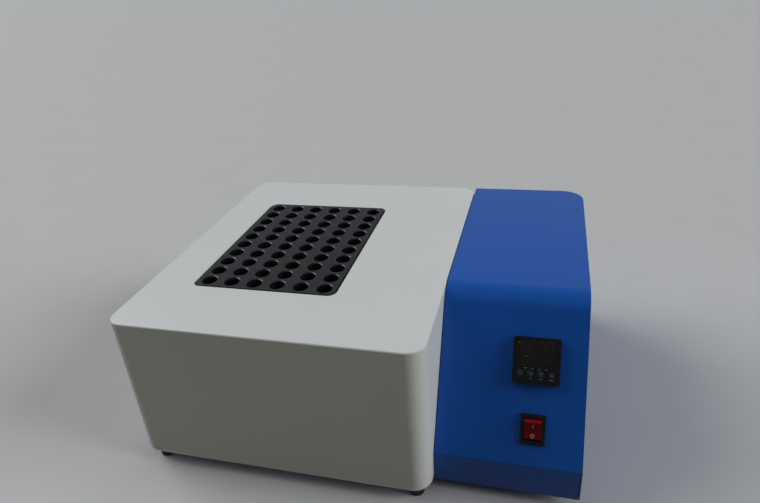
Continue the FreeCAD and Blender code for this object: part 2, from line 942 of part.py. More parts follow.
def make_loom():
    """The bundle of wires past the terminals and through the grommet to the control case."""
    first, *_, last = heater_levels()
    half = s.terminal_width / 2
    run = last - first + 2 * half
    along = rod("Loom_along", loom_x, first - half, s.loom_height, s.loom_radius, run, "+Y")
    across = rod("Loom_across", loom_x, middle_y, s.loom_height, s.loom_radius, junction_left - loom_x, "+X")
    sub_part("wiring_loom", join("Loom", [along, across]))


def make_grommet():
    """A rubber grommet in the two walls that the loom passes through."""
    inside = s.housing_width - s.sheet
    span = s.case_gap + 2 * s.sheet
    neck_radius = s.grommet_hole_radius - s.hole_clearance
    neck = rod("Grommet_neck", inside, middle_y, s.loom_height, neck_radius, span, "+X")
    flange_radius = s.grommet_flange_radius
    left = rod("Grommet_left", inside, middle_y, s.loom_height, flange_radius, s.grommet_flange, "-X")
    right_face = inside + span
    right = rod("Grommet_right", right_face, middle_y, s.loom_height, flange_radius, s.grommet_flange, "+X")
    bore_radius = s.loom_radius + s.hole_clearance
    bore = rod(
        "Grommet_bore",
        inside - s.grommet_flange,
        middle_y,
        s.loom_height,
        bore_radius,
        span + 2 * s.grommet_flange,
        "+X",
    )
    sub_part("loom_grommet", cut("Grommet", join("Grommet_blank", [neck, left, right]), [bore]))


def make_probes():
    """The temperature sensor and the rod thermostat that cuts the heat if the block gets too hot."""
    start = block_right - s.sensor_reach
    stem = rod("Sensor_stem", start, sensor_y(), probe_level, s.sensor_radius, insulation_right - start, "+X")
    head = rod(
        "Sensor_head",
        insulation_right,
        sensor_y(),
        probe_level,
        s.sensor_head_radius,
        s.sensor_head_length,
        "+X",
    )
    sub_part("temperature_sensor", join("Sensor", [stem, head]))
    start = block_right - s.thermostat_reach
    length = insulation_right - start
    stem = rod("Thermostat_stem", start, thermostat_y(), probe_level, s.thermostat_radius, length, "+X")
    head = slab(
        "Thermostat_head",
        insulation_right,
        thermostat_y() - s.thermostat_head_width / 2,
        probe_level - s.thermostat_head_height / 2,
        s.thermostat_head_length,
        s.thermostat_head_width,
        s.thermostat_head_height,
    )
    sub_part("safety_thermostat", join("Thermostat", [stem, head]))


def make_insulation():
    """Boards round the block, standing on the base plate, and a slab under it."""
    thick = s.insulation_thickness
    low = s.base_thickness
    rise = inside_top - s.insulation_top_gap - low
    left = cutout_left - thick
    long = s.cutout_width + 2 * thick
    front = slab("Insulation_front", left, cutout_front - thick, low, long, thick, rise)
    sub_part("insulation_front", front)
    back = slab("Insulation_back", left, cutout_back, low, long, thick, rise)
    sub_part("insulation_back", back)
    side = slab("Insulation_left", left, cutout_front, low, thick, s.cutout_depth, rise)
    sub_part("insulation_left", side)
    board = slab("Insulation_right_board", cutout_right, cutout_front, low, thick, s.cutout_depth, rise)
    holes = probe_bores("Insulation_right_bore", cutout_right, thick, s.insulation_hole_clearance)
    sub_part("insulation_right", cut("Insulation_right", board, holes))
    under = plate_low - s.insulation_top_gap - low
    bed = slab("Insulation_bed", cutout_left, cutout_front, low, s.cutout_width, s.cutout_depth, under)
    radius = s.pillar_radius + s.insulation_hole_clearance
    holes = []
    for index, (x, y) in enumerate(pillar_spots()):
        holes.append(rod(f"Insulation_bed_bore_{index}", x, y, low, radius, under))
    sub_part("insulation_bottom", cut("Insulation_bottom", bed, holes))


def make_pillars():
    """Ceramic pillars from the base plate to the heater plate, with a stud through each and a nut below."""
    pillars = []
    studs = []
    nuts = []
    rise = plate_low - s.base_thickness
    for index, (x, y) in enumerate(pillar_spots()):
        post = rod(f"Pillar_{index}_post", x, y, s.base_thickness, s.pillar_radius, rise)
        bore = rod(f"Pillar_{index}_bore", x, y, s.base_thickness, s.stud_radius + s.hole_clearance, rise)
        pillars.append(cut(f"Pillar_{index}", post, [bore]))
        length = s.stud_tail + plate_low + s.stud_grip
        studs.append(rod(f"Stud_{index}", x, y, -s.stud_tail, s.stud_radius, length))
        thread = s.stud_radius + s.thread_clearance
        nuts.append(nut(f"Stud_nut_{index}", x, y, 0, s.nut_radius, s.nut_height, thread, "-Z"))
    sub_part("block_pillars", group("Block_pillars", pillars))
    sub_part("block_studs", group("Block_studs", studs))
    sub_part("block_nuts", group("Block_nuts", nuts))


# Blue control case

def inlet_screw_spots():
    """The X of the two screws that hold the power inlet."""
    reach = (s.inlet_flange_width + s.inlet_body_width) / 4
    return [inlet_x - reach, inlet_x + reach]


def cover_screw_spots():
    """The X of the screws low on the back of the control case."""
    left = control_left + s.tray_flange
    right = control_right - s.control_corner - s.tray_flange
    return [left, (left + right) / 2, right]


def make_cover():
    """The blue shell: top, sloping front, right side and back in one, open to the left and below."""
    body = doc.addObject("PartDesign::Body", "Cover_blank")
    profile = [
        (s.panel_foot, control_low),
        (s.panel_foot, s.kick_top),
        (fold_y, s.housing_height),
        (control_back, s.housing_height),
        (control_back, control_low),
    ]
    blank = pad(body, outline(body, "Cover_outline", "YZ_Plane", control_left, profile), s.control_width)
    fold = edges_in_both(blank, ("Y", fold_y), ("Z", s.housing_height))
    folded = dress(body, "Fillet", blank, fold, Radius=s.fold_radius)
    upright = edges_in_both(folded, ("X", control_right), ("Y", control_back))
    rounded = dress(body, "Fillet", folded, upright, Radius=s.control_corner)
    open_faces = [
        face_at(rounded, "X", control_left),
        face_at(rounded, "Z", control_low),
        face_at(rounded, "Y", s.panel_foot),
    ]
    shell(body, rounded, open_faces)
    inside_width = s.control_width - s.sheet
    kick_space = slab(
        "Cover_kick_space",
        control_left,
        s.panel_foot,
        control_low,
        inside_width,
        s.tray_flange,
        s.kick_top - control_low,
    )
    case_hole = s.instrument_case_side + 2 * s.hole_clearance
    controller_hole = panel_place(
        group("Cover_controller_place", [panel_hole("Cover_controller_hole", case_hole, case_hole)]),
        s.controller_up,
    )
    barrel_across = s.barrel_width + 2 * s.hole_clearance
    barrel_up = s.barrel_height + 2 * s.hole_clearance
    switch_hole = panel_place(
        group("Cover_switch_place", [panel_hole("Cover_switch_hole", barrel_across, barrel_up)]),
        s.switch_up,
    )
    inlet_hole = slab(
        "Cover_inlet_hole",
        inlet_x - s.inlet_body_width / 2 - s.hole_clearance,
        control_inside_back,
        s.inlet_up - s.inlet_body_height / 2 - s.hole_clearance,
        s.inlet_body_width + 2 * s.hole_clearance,
        s.sheet,
        s.inlet_body_height + 2 * s.hole_clearance,
    )
    tools = [kick_space, controller_hole, switch_hole, inlet_hole]
    bore = s.small_screw_radius + s.thread_clearance
    for index, x in enumerate(inlet_screw_spots()):
        hole = rod(f"Cover_inlet_bore_{index}", x, control_inside_back, s.inlet_up, bore, s.sheet, "+Y")
        tools.append(hole)
    bore = s.small_screw_radius + s.hole_clearance
    for index, x in enumerate(cover_screw_spots()):
        level = control_floor + s.tray_flange / 2
        tools.append(rod(f"Cover_screw_bore_{index}", x, control_inside_back, level, bore, s.sheet, "+Y"))
    sub_part("control_cover", cut("Cover", body, tools))


def panel_hole(name, across, up):
    """A square hole through the panel's sheet, drawn flat about its own middle."""
    return slab(name, -across / 2, -up / 2, -2 * s.sheet, across, up, 4 * s.sheet)


def make_side_plate():
    """The wall that closes the control case towards the white case, inside the cover's edge."""
    inset = s.sheet + s.seam
    foot = s.panel_foot + inset / panel_rise
    back = control_back - 2 * inset
    top = s.housing_height - inset
    profile = [
        (foot, control_floor),
        (foot, s.kick_top),
        (foot + (top - s.kick_top) * panel_slope, top),
        (back, top),
        (back, control_floor),
    ]
    body = doc.addObject("PartDesign::Body", "Side_plate_blank")
    blank = pad(body, outline(body, "Side_plate_outline", "YZ_Plane", control_left, profile), s.sheet)
    fold = edges_in_both(blank, ("Y", profile[2][0]), ("Z", profile[2][1]))
    dress(body, "Fillet", blank, fold, Radius=s.fold_radius - inset)
    radius = s.grommet_hole_radius
    tools = [rod("Side_plate_loom_hole", control_left, middle_y, s.loom_height, radius, s.sheet, "+X")]
    for index, (y, z) in enumerate(joint_spots()):
        bore = s.screw_radius + s.hole_clearance
        tools.append(rod(f"Side_plate_bore_{index}", control_left, y, z, bore, s.sheet, "+X"))
    sub_part("control_side_plate", cut("Side_plate", body, tools))


def make_tray():
    """The blue tray below the control case: its front flange is the upright strip under the sloping panel."""
    inset = s.sheet + s.seam
    right = control_right - inset
    back = control_back - inset
    width = right - control_left
    body = doc.addObject("PartDesign::Body", "Tray_blank")
    profile = [
        (control_left, s.panel_foot),
        (right, s.panel_foot),
        (right, back),
        (control_left, back),
    ]
    sketch = outline(body, "Tray_outline", "XY_Plane", control_low, profile)
    blank = pad(body, sketch, s.sheet + s.tray_flange)
    upright = edges_in_both(blank, ("X", right), ("Y", back))
    rounded = dress(body, "Fillet", blank, upright, Radius=s.control_corner - inset)
    open_faces = [
        face_at(rounded, "X", control_left),
        face_at(rounded, "Z", control_floor + s.tray_flange),
        face_at(rounded, "Y", s.panel_foot),
    ]
    shell(body, rounded, open_faces)
    strip = slab(
        "Tray_strip",
        control_left,
        s.panel_foot,
        control_low,
        width,
        s.sheet,
        s.kick_top - s.seam - control_low,
    )
    tools = []
    for index in range(SIZES["vent_count"]):
        tools.append(
            slab(
                f"Tray_vent_{index}",
                control_left + (s.control_width - s.vent_length) / 2,
                s.vent_front + index * s.vent_pitch,
                control_low,
                s.vent_length,
                s.vent_width,
                s.sheet,
            )
        )
    level = control_floor + s.tray_flange / 2
    bore = s.small_screw_radius + s.thread_clearance
    for index, x in enumerate(cover_screw_spots()):
        tools.append(rod(f"Tray_screw_bore_{index}", x, back - s.sheet, level, bore, s.sheet, "+Y"))
    sub_part("control_base", cut("Tray", join("Tray_joined", [body, strip]), tools))


def make_cover_screws():
    """Screws low on the back that hold the cover to the tapped holes of the tray."""
    level = control_floor + s.tray_flange / 2
    length = 2 * s.sheet + s.seam + s.screw_tail
    screws = []
    for index, x in enumerate(cover_screw_spots()):
        screws.append(
            screw(
                f"Cover_screw_{index}",
                x,
                control_back,
                level,
                length,
                "-Y",
                s.small_screw_radius,
                s.small_head_radius,
                s.small_head_height,
            )
        )
    sub_part("cover_screws", group("Cover_screws", screws))


def make_joining_bolts():
    """Bolts, spacing washers and nuts that hold the control case to the white case."""
    inside = s.housing_width - s.sheet
    far = control_left + s.sheet
    bolts = []
    washers = []
    nuts = []
    for index, (y, z) in enumerate(joint_spots()):
        length = far - inside + s.screw_nut_height + s.screw_tail
        bolts.append(
            screw(
                f"Join_bolt_{index}",
                inside,
                y,
                z,
                length,
                "+X",
                s.screw_radius,
                s.screw_head_radius,
                s.screw_head_height,
            )
        )
        radius = 2 * s.screw_head_radius
        disc = rod(f"Join_washer_{index}_disc", s.housing_width, y, z, radius, s.case_gap, "+X")
        radius = s.screw_radius + s.hole_clearance
        bore = rod(f"Join_washer_{index}_bore", s.housing_width, y, z, radius, s.case_gap, "+X")
        washers.append(cut(f"Join_washer_{index}", disc, [bore]))
        thread = s.screw_radius + s.thread_clearance
        nuts.append(nut(f"Join_nut_{index}", far, y, z, s.screw_nut_radius, s.screw_nut_height, thread, "+X"))
    sub_part("joining_bolts", group("Joining_bolts", bolts))
    sub_part("joining_washers", group("Joining_washers", washers))
    sub_part("joining_nuts", group("Joining_nuts", nuts))


# Temperature controller, drawn flat about its own middle with Z out of the panel

def centred_slab(name, z, across, up, height, middle_up=0):
    """A box about the middle of the panel piece, or moved up the panel from there."""
    return slab(name, -across / 2, middle_up - up / 2, z, across, up, height)


def key_spots():
    """The place across the face of each key."""
    count = SIZES["key_count"]
    return [(index - (count - 1) / 2) * s.key_pitch for index in range(count)]


def make_bezel():
    """The black front frame, hollow behind, with the window's opening and the holes for the keys."""
    half = s.bezel_side / 2
    block = rounded_slab(
        "Bezel_blank",
        -half,
        -half,
        0,
        s.bezel_side,
        s.bezel_side,
        s.bezel_proud,
        s.bezel_corner,
        s.bezel_edge,
    )
    inside = s.bezel_side - 2 * s.bezel_wall
    hollow = centred_slab("Bezel_hollow", 0, inside, inside, bezel_inside)
    window = centred_slab(
        "Bezel_window",
        bezel_inside,
        s.window_width + 2 * s.key_clearance,
        s.window_height + 2 * s.key_clearance,
        s.bezel_face,
        s.window_up,
    )
    holes = [hollow, window]
    for index, across in enumerate(key_spots()):
        radius = s.key_radius + s.key_clearance
        holes.append(rod(f"Bezel_key_{index}", across, -s.key_down, bezel_inside, radius, s.bezel_face))
    panel_part("controller_bezel", cut("Bezel", block, holes), s.controller_up)


def make_controller_inside():
    """The controller's case, board, display, window, rear terminals and the collar that clamps it."""
    depth = s.instrument_case_depth
    side = s.instrument_case_side
    hollow_side = side - 2 * s.instrument_case_wall
    tub = centred_slab("Case_tub", -depth, side, side, depth + s.instrument_case_rim)
    hollow = centred_slab(
        "Case_hollow",
        s.instrument_case_wall - depth,
        hollow_side,
        hollow_side,
        depth + s.instrument_case_rim - s.instrument_case_wall,
    )
    panel_part("controller_case", cut("Controller_case", tub, [hollow]), s.controller_up)
    board = centred_slab("Board", s.instrument_case_rim, s.board_side, s.board_side, s.board_thickness)
    panel_part("controller_board", board, s.controller_up)
    display = centred_slab(
        "Display",
        board_top,
        s.window_width - 2 * s.display_margin,
        s.window_height - 2 * s.display_margin,
        window_seat - board_top,
        s.window_up,
    )
    panel_part("controller_display", display, s.controller_up)
    window = centred_slab(
        "Window", window_seat, s.window_width, s.window_height, s.window_thickness, s.window_up
    )
    panel_part("controller_window", window, s.controller_up)
    blocks = []
    for sign in (-1, 1):
        middle = sign * (side - s.rear_terminal_height) / 2
        blocks.append(
            centred_slab(
                f"Rear_terminal_{'low' if sign < 0 else 'high'}",
                -depth - s.rear_terminal_depth,
                s.rear_terminal_width,
                s.rear_terminal_height,
                s.rear_terminal_depth,
                middle,
            )
        )
    panel_part("controller_terminals", group("Rear_terminals", blocks), s.controller_up)
    collar_side = side + 2 * s.hole_clearance
    collar = centred_slab(
        "Collar_blank",
        -s.sheet - s.clamp_depth,
        collar_side + 2 * s.clamp_rim,
        collar_side + 2 * s.clamp_rim,
        s.clamp_depth,
    )
    bore = centred_slab("Collar_bore", -s.sheet - s.clamp_depth, collar_side, collar_side, s.clamp_depth)
    panel_part("controller_clamp", cut("Controller_clamp", collar, [bore]), s.controller_up)


def make_keys():
    """Four round keys, each with a flange behind the bezel and a stem that stops short of the board."""
    flange_top = bezel_inside - s.thread_clearance
    flange_low = flange_top - s.key_flange_thickness
    stem_low = board_top + s.key_travel + s.thread_clearance
    for name, across in zip(("set", "left", "down", "up"), key_spots()):
        title = name.capitalize()
        cap_height = s.bezel_proud + s.key_proud - flange_top
        cap = rod(f"{title}_key_cap", across, -s.key_down, flange_top, s.key_radius, cap_height)
        flange = rod(
            f"{title}_key_flange",
            across,
            -s.key_down,
            flange_low,
            s.key_radius + s.key_flange,
            s.key_flange_thickness,
        )
        stem_height = flange_low - stem_low
        stem = rod(f"{title}_key_stem", across, -s.key_down, stem_low, s.key_stem_radius, stem_height)
        panel_part(f"{name}_key", join(f"{title}_key", [cap, flange, stem]), s.controller_up)


# Rocker switch, drawn flat about its own middle with Z out of the panel

def make_switch():
    """The switch's frame and barrel, its pivot pin and its four blades."""
    frame = rounded_slab(
        "Switch_frame",
        -s.switch_width / 2,
        -s.switch_height / 2,
        0,
        s.switch_width,
        s.switch_height,
        s.switch_flange,
        s.switch_corner,
        s.switch_edge,
    )
    barrel = centred_slab("Switch_barrel", -s.barrel_depth, s.barrel_width, s.barrel_height, s.barrel_depth)
    mouth = centred_slab(
        "Switch_mouth",
        -s.switch_mouth_depth,
        s.switch_mouth_width,
        s.switch_mouth_height,
        s.switch_mouth_depth + s.switch_flange,
    )
    side = (s.barrel_width - s.switch_mouth_width) / 2
    bore_radius = s.pivot_radius + s.pivot_clearance
    bores = [
        rod("Switch_bore_left", -s.barrel_width / 2, 0, -s.pivot_depth, bore_radius, side, "+X"),
        rod("Switch_bore_right", s.switch_mouth_width / 2, 0, -s.pivot_depth, bore_radius, side, "+X"),
    ]
    body = cut("Switch_body", join("Switch_blank", [frame, barrel]), [mouth] + bores)
    panel_part("switch_body", body, s.switch_up)
    pin = rod("Switch_pin", -s.barrel_width / 2, 0, -s.pivot_depth, s.pivot_radius, s.barrel_width, "+X")
    panel_part("switch_pin", pin, s.switch_up)
    blades = []
    for across in (-1, 1):
        for up in (-1, 1):
            blades.append(
                slab(
                    f"Blade_{len(blades)}",
                    across * s.barrel_width / 4 - s.blade_thickness / 2,
                    up * s.barrel_height / 4 - s.blade_width / 2,
                    -s.barrel_depth - s.blade_length,
                    s.blade_thickness,
                    s.blade_width,
                    s.blade_length,
                )
            )
    panel_part("switch_blades", group("Switch_blades", blades), s.switch_up)


def make_rocker():
    """The red rocker, at rest with its upper end out: the switch is off."""
    body = doc.addObject("PartDesign::Body", "Rocker_blank")
    pivot = s.pivot_depth
    profile = [
        (-s.rocker_half, s.rocker_end_rise + pivot),
        (-s.rocker_shoulder, pivot - s.rocker_shoulder_drop),
        (-s.rocker_keel, pivot - s.rocker_drop),
        (s.rocker_keel, pivot - s.rocker_drop),
        (s.rocker_shoulder, pivot - s.rocker_shoulder_drop),
        (s.rocker_half, s.rocker_end_rise + pivot),
        (0, s.rocker_dip + pivot),
    ]
    sketch = outline(body, "Rocker_outline", "YZ_Plane", -s.rocker_width / 2, profile)
    pad(body, sketch, s.rocker_width)
    bore_radius = s.pivot_radius + s.pivot_clearance
    bore = rod("Rocker_bore", -s.rocker_width / 2, 0, 0, bore_radius, s.rocker_width, "+X")
    rocker = cut("Rocker", body, [bore])
    rocker.Placement = FreeCAD.Placement(FreeCAD.Vector(), FreeCAD.Rotation(FreeCAD.Vector(1, 0, 0), 1))
    rocker.setExpression("Placement.Rotation.Angle", s.rocker_tilt.formula)
    put(rocker, 0, 0, -pivot)
    panel_part("switch_rocker", rocker, s.switch_up)


# Power side of the control case

def make_relay():
    """The relay that switches the heaters, on a finned heat sink that stands on the tray."""
    left = sink_left
    low = control_floor
    fin_rise = s.sink_height - s.sink_floor
    top = slab("Sink_top", left, s.sink_front, low + fin_rise, s.sink_width, s.sink_length, s.sink_floor)
    pitch = (s.sink_width - s.fin_thickness) / (s.fin_count - 1)
    fins = []
    for index in range(SIZES["fin_count"]):
        x = left + index * pitch
        fins.append(slab(f"Fin_{index}", x, s.sink_front, low, s.fin_thickness, s.sink_length, fin_rise))
    sub_part("relay_heat_sink", join("Heat_sink", [top] + fins))
    relay_left = left + (s.sink_width - s.relay_width) / 2
    relay_front = s.sink_front + (s.sink_length - s.relay_length) / 2
    block = slab(
        "Relay_block", relay_left, relay_front, sink_top, s.relay_width, s.relay_length, s.relay_height
    )
    bore = s.screw_radius + s.hole_clearance
    screws = []
    holes = []
    for end in (0, 1):
        y = relay_front + s.screw_head_radius + s.sheet + end * (
            s.relay_length - 2 * (s.screw_head_radius + s.sheet)
        )
        x = relay_left + s.relay_width / 2
        holes.append(rod(f"Relay_bore_{end}", x, y, sink_top, bore, s.relay_height))
        screws.append(
            screw(
                f"Relay_screw_{end}",
                x,
                y,
                sink_top + s.relay_height,
                s.relay_height,
                "-Z",
                s.screw_radius,
                s.screw_head_radius,
                s.screw_head_height,
            )
        )
    sub_part("solid_state_relay", cut("Relay", block, holes))
    sub_part("relay_screws", group("Relay_screws", screws))


def make_junction():
    """The wiring block on the tray, where the loom ends."""
    strip = slab(
        "Junction_strip",
        junction_left,
        middle_y - s.junction_length / 2,
        control_floor,
        s.junction_width,
        s.junction_length,
        s.junction_height,
    )
    sub_part("wiring_block", strip)


def make_inlet():
    """The mains inlet in the back wall, with its pins, its screws and the drawer that holds the fuse."""
    x = inlet_x
    flange = slab(
        "Inlet_flange",
        x - s.inlet_flange_width / 2,
        control_back,
        s.inlet_up - s.inlet_flange_height / 2,
        s.inlet_flange_width,
        s.inlet_flange,
        s.inlet_flange_height,
    )
    body = slab(
        "Inlet_body",
        x - s.inlet_body_width / 2,
        control_back - s.inlet_body_depth,
        s.inlet_up - s.inlet_body_height / 2,
        s.inlet_body_width,
        s.inlet_body_depth,
        s.inlet_body_height,
    )
    socket = slab(
        "Inlet_socket",
        x - s.socket_width / 2,
        inlet_face - s.socket_depth,
        socket_level - s.socket_height / 2,
        s.socket_width,
        s.socket_depth,
        s.socket_height,
    )
    slot_width = s.drawer_width + 2 * s.drawer_clearance
    slot_height = s.drawer_height + 2 * s.drawer_clearance
    slot_length = s.drawer_length + s.drawer_clearance
    slot = slab(
        "Inlet_slot",
        x - slot_width / 2,
        inlet_face - slot_length,
        drawer_level - slot_height / 2,
        slot_width,
        slot_length,
        slot_height,
    )
    bore = s.small_screw_radius + s.hole_clearance
    holes = [
        rod(f"Inlet_bore_{i}", at, control_back, s.inlet_up, bore, s.inlet_flange, "+Y")
        for i, at in enumerate(inlet_screw_spots())
    ]
    sub_part("power_inlet", cut("Inlet", join("Inlet_blank", [flange, body]), [socket, slot] + holes))
    pins = []
    floor = inlet_face - s.socket_depth
    for across, up in ((-1, -1), (0, 1), (1, -1)):
        pins.append(
            slab(
                f"Inlet_pin_{len(pins)}",
                x + across * s.pin_spread - s.pin_width / 2,
                floor,
                socket_level + up * s.pin_rise / 2 - s.pin_height / 2,
                s.pin_width,
                s.pin_length,
                s.pin_height,
            )
        )
    sub_part("inlet_pins", group("Inlet_pins", pins))
    length = s.inlet_flange - s.small_head_height + s.sheet + s.screw_tail
    screws = []
    for index, at in enumerate(inlet_screw_spots()):
        screws.append(
            screw(
                f"Inlet_screw_{index}",
                at,
                inlet_face - s.small_head_height,
                s.inlet_up,
                length,
                "-Y",
                s.small_screw_radius,
                s.small_screw_radius,
                s.small_head_height,
            )
        )
    sub_part("inlet_screws", group("Inlet_screws", screws))


def make_fuse():
    """The drawer below the socket, flush when it is shut, and the glass fuse that lies in it."""
    tray = slab(
        "Drawer_blank",
        inlet_x - s.drawer_width / 2,
        inlet_face - s.drawer_length,
        drawer_level - s.drawer_height / 2,
        s.drawer_width,
        s.drawer_length,
        s.drawer_height,
    )
    room = s.fuse_radius + s.fuse_clearance
    start = inlet_face - s.fuse_setback - s.fuse_length
    floor = drawer_level + s.drawer_height / 2 - 2 * room
    pocket = slab(
        "Drawer_pocket",
        inlet_x - room,
        start - s.fuse_clearance,
        floor,
        2 * room,
        s.fuse_length + 2 * s.fuse_clearance,
        2 * room,
    )
    sub_part("fuse_drawer", cut("Drawer", tray, [pocket]))
    level = floor + s.fuse_clearance + s.fuse_radius
    sub_part("fuse", rod("Fuse", inlet_x, start, level, s.fuse_radius, s.fuse_length, "+Y"))


def make_all():
    make_housing()
    make_base()
    make_base_screws()
    make_feet()
    make_block()
    make_plate()
    make_heaters()
    make_leads()
    make_loom()
    make_grommet()
    make_probes()
    make_insulation()
    make_pillars()
    make_cover()
    make_side_plate()
    make_tray()
    make_cover_screws()
    make_joining_bolts()
    make_bezel()
    make_controller_inside()
    make_keys()
    make_switch()
    make_rocker()
    make_relay()
    make_junction()
    make_inlet()
    make_fuse()
    doc.recompute()


def check_all():
    """Stops before anything is written if a piece failed to build."""
    for item in doc.Objects:
        if "Invalid" in item.State or "Error" in item.State:
            raise RuntimeError(f"{item.Label} did not build: {item.State}")
    for item in sub_parts:
        if item.Shape.isNull() or not item.Shape.isValid():
            raise RuntimeError(f"{item.Label} has no valid shape")


def write_all():
    os.makedirs("parts", exist_ok=True)
    for item in sub_parts:
        item.Shape.exportStep(f"parts/{item.Label}.step")


make_all()
check_all()
write_all()
print(len(sub_parts), "pieces written")
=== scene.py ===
"""Looks of a dry block heater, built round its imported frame: finishes, finer shapes, and a plain stage."""

import json
import math

import bmesh
import bpy
from bpy.props import FloatProperty, FloatVectorProperty, IntProperty, PointerProperty
from bpy.types import Operator, Panel, PropertyGroup
from mathutils import Matrix, Vector


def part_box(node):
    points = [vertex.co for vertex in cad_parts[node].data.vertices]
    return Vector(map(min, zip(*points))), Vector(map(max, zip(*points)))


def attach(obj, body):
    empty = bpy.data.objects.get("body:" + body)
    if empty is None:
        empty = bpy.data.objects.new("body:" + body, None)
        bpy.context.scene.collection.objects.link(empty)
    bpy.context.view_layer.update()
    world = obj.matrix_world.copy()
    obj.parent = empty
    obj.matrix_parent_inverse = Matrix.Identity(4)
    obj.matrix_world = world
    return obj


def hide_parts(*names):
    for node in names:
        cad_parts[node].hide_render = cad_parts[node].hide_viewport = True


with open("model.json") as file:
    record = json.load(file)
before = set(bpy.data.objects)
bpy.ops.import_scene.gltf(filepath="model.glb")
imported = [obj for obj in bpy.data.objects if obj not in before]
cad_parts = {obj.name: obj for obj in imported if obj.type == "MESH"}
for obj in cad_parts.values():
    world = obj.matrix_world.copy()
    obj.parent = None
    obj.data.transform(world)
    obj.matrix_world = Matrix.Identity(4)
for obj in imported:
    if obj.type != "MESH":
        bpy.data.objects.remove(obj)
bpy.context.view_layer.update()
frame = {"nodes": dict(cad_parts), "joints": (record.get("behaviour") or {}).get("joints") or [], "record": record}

bl_info = {
    "name": "Dry block heater",
    "version": (1, 0, 0),
    "blender": (4, 5, 0),
    "location": "3D View > Sidebar > Heater",
    "description": "Builds the looks of a dry block heater round its packed frame",
    "category": "Object",
}

SENSOR_WIDTH = 36
UP = (0, 0, 1)
# Points nearer to each other than this are one point
MERGE = 0.000001
# Steps round turned pieces
FOOT_TURNS = 48
KEY_TURNS = 40
RING_TURNS = 32
SCREW_TURNS = 32
HOLE_TURNS = 24
FLOOR_TURNS = 64
# How far a printed mark reaches into its piece, and how far it stands out
PRINT_SUNK = 0.0001
PRINT_PROUD = 0.00005
finishes = {}


# Sizes and colours that a user would change


def length(name, description, default):
    """A length in metres."""
    return FloatProperty(
        name=name, description=description, default=default, precision=4, subtype="DISTANCE", unit="LENGTH"
    )


def angle(name, description, default):
    """An angle, given here in degrees."""
    return FloatProperty(
        name=name, description=description, default=math.radians(default), subtype="ANGLE", unit="ROTATION"
    )


def share(name, description, default):
    """A part of a whole."""
    return FloatProperty(
        name=name, description=description, default=default, min=0, max=1, subtype="FACTOR"
    )


def level(name, description, default):
    """A strength or another plain number."""
    return FloatProperty(name=name, description=description, default=default, min=0)


def colour(name, description, default):
    """A colour, in linear light."""
    return FloatVectorProperty(
        name=name, description=description, default=default, size=3, min=0, max=1, subtype="COLOR"
    )


def spot(name, description, default):
    """A place or a direction."""
    return FloatVectorProperty(name=name, description=description, default=default, size=3, subtype="XYZ")


class HeaterCaseSizes(PropertyGroup):
    """Sizes of the white case, its feet and the block."""

    sheet: length("Sheet", "Thickness of the white case's sheet", 0.0015)
    case_corner: length("Case corner", "Radius of the white case's upright corners", 0.020)
    case_edge: length("Case edge", "Radius round the top of the white case", 0.002)
    cutout_gap: length("Gap", "Gap between the block and the opening round it", 0.002)
    cutout_corner: length("Opening corner", "Radius of the opening's corners", 0.010)
    cutout_edge: length("Opening edge", "Rounding along the opening's upper edge", 0.0005)
    block_corner: length("Block corner", "Radius of the block's upright corners", 0.008)
    block_edge: length("Block edge", "Rounding along the block's upper edge", 0.0005)
    well_rim: length("Well rim", "Rounding of each well's mouth", 0.0012)
    well_turns: IntProperty(name="Well steps", description="Steps round each well", default=40, min=12)
    foot_tip: length("Foot tip", "Radius of a foot where it meets the floor", 0.0085)
    foot_recess: length("Foot recess", "Radius of the recess for a foot's screw", 0.005)
    foot_recess_depth: length("Foot recess depth", "Depth of the recess for a foot's screw", 0.010)
    foot_round: length("Foot rounding", "Rounding round the lower edge of a foot", 0.0015)
    foot_bore: length("Foot bore", "Radius of the hole through a foot", 0.003)
    foot_top_cut: length("Foot top", "Cut round the upper edge of a foot", 0.0004)
    foot_mouth_cut: length("Foot mouth", "Cut round the mouth of a foot's recess", 0.0006)


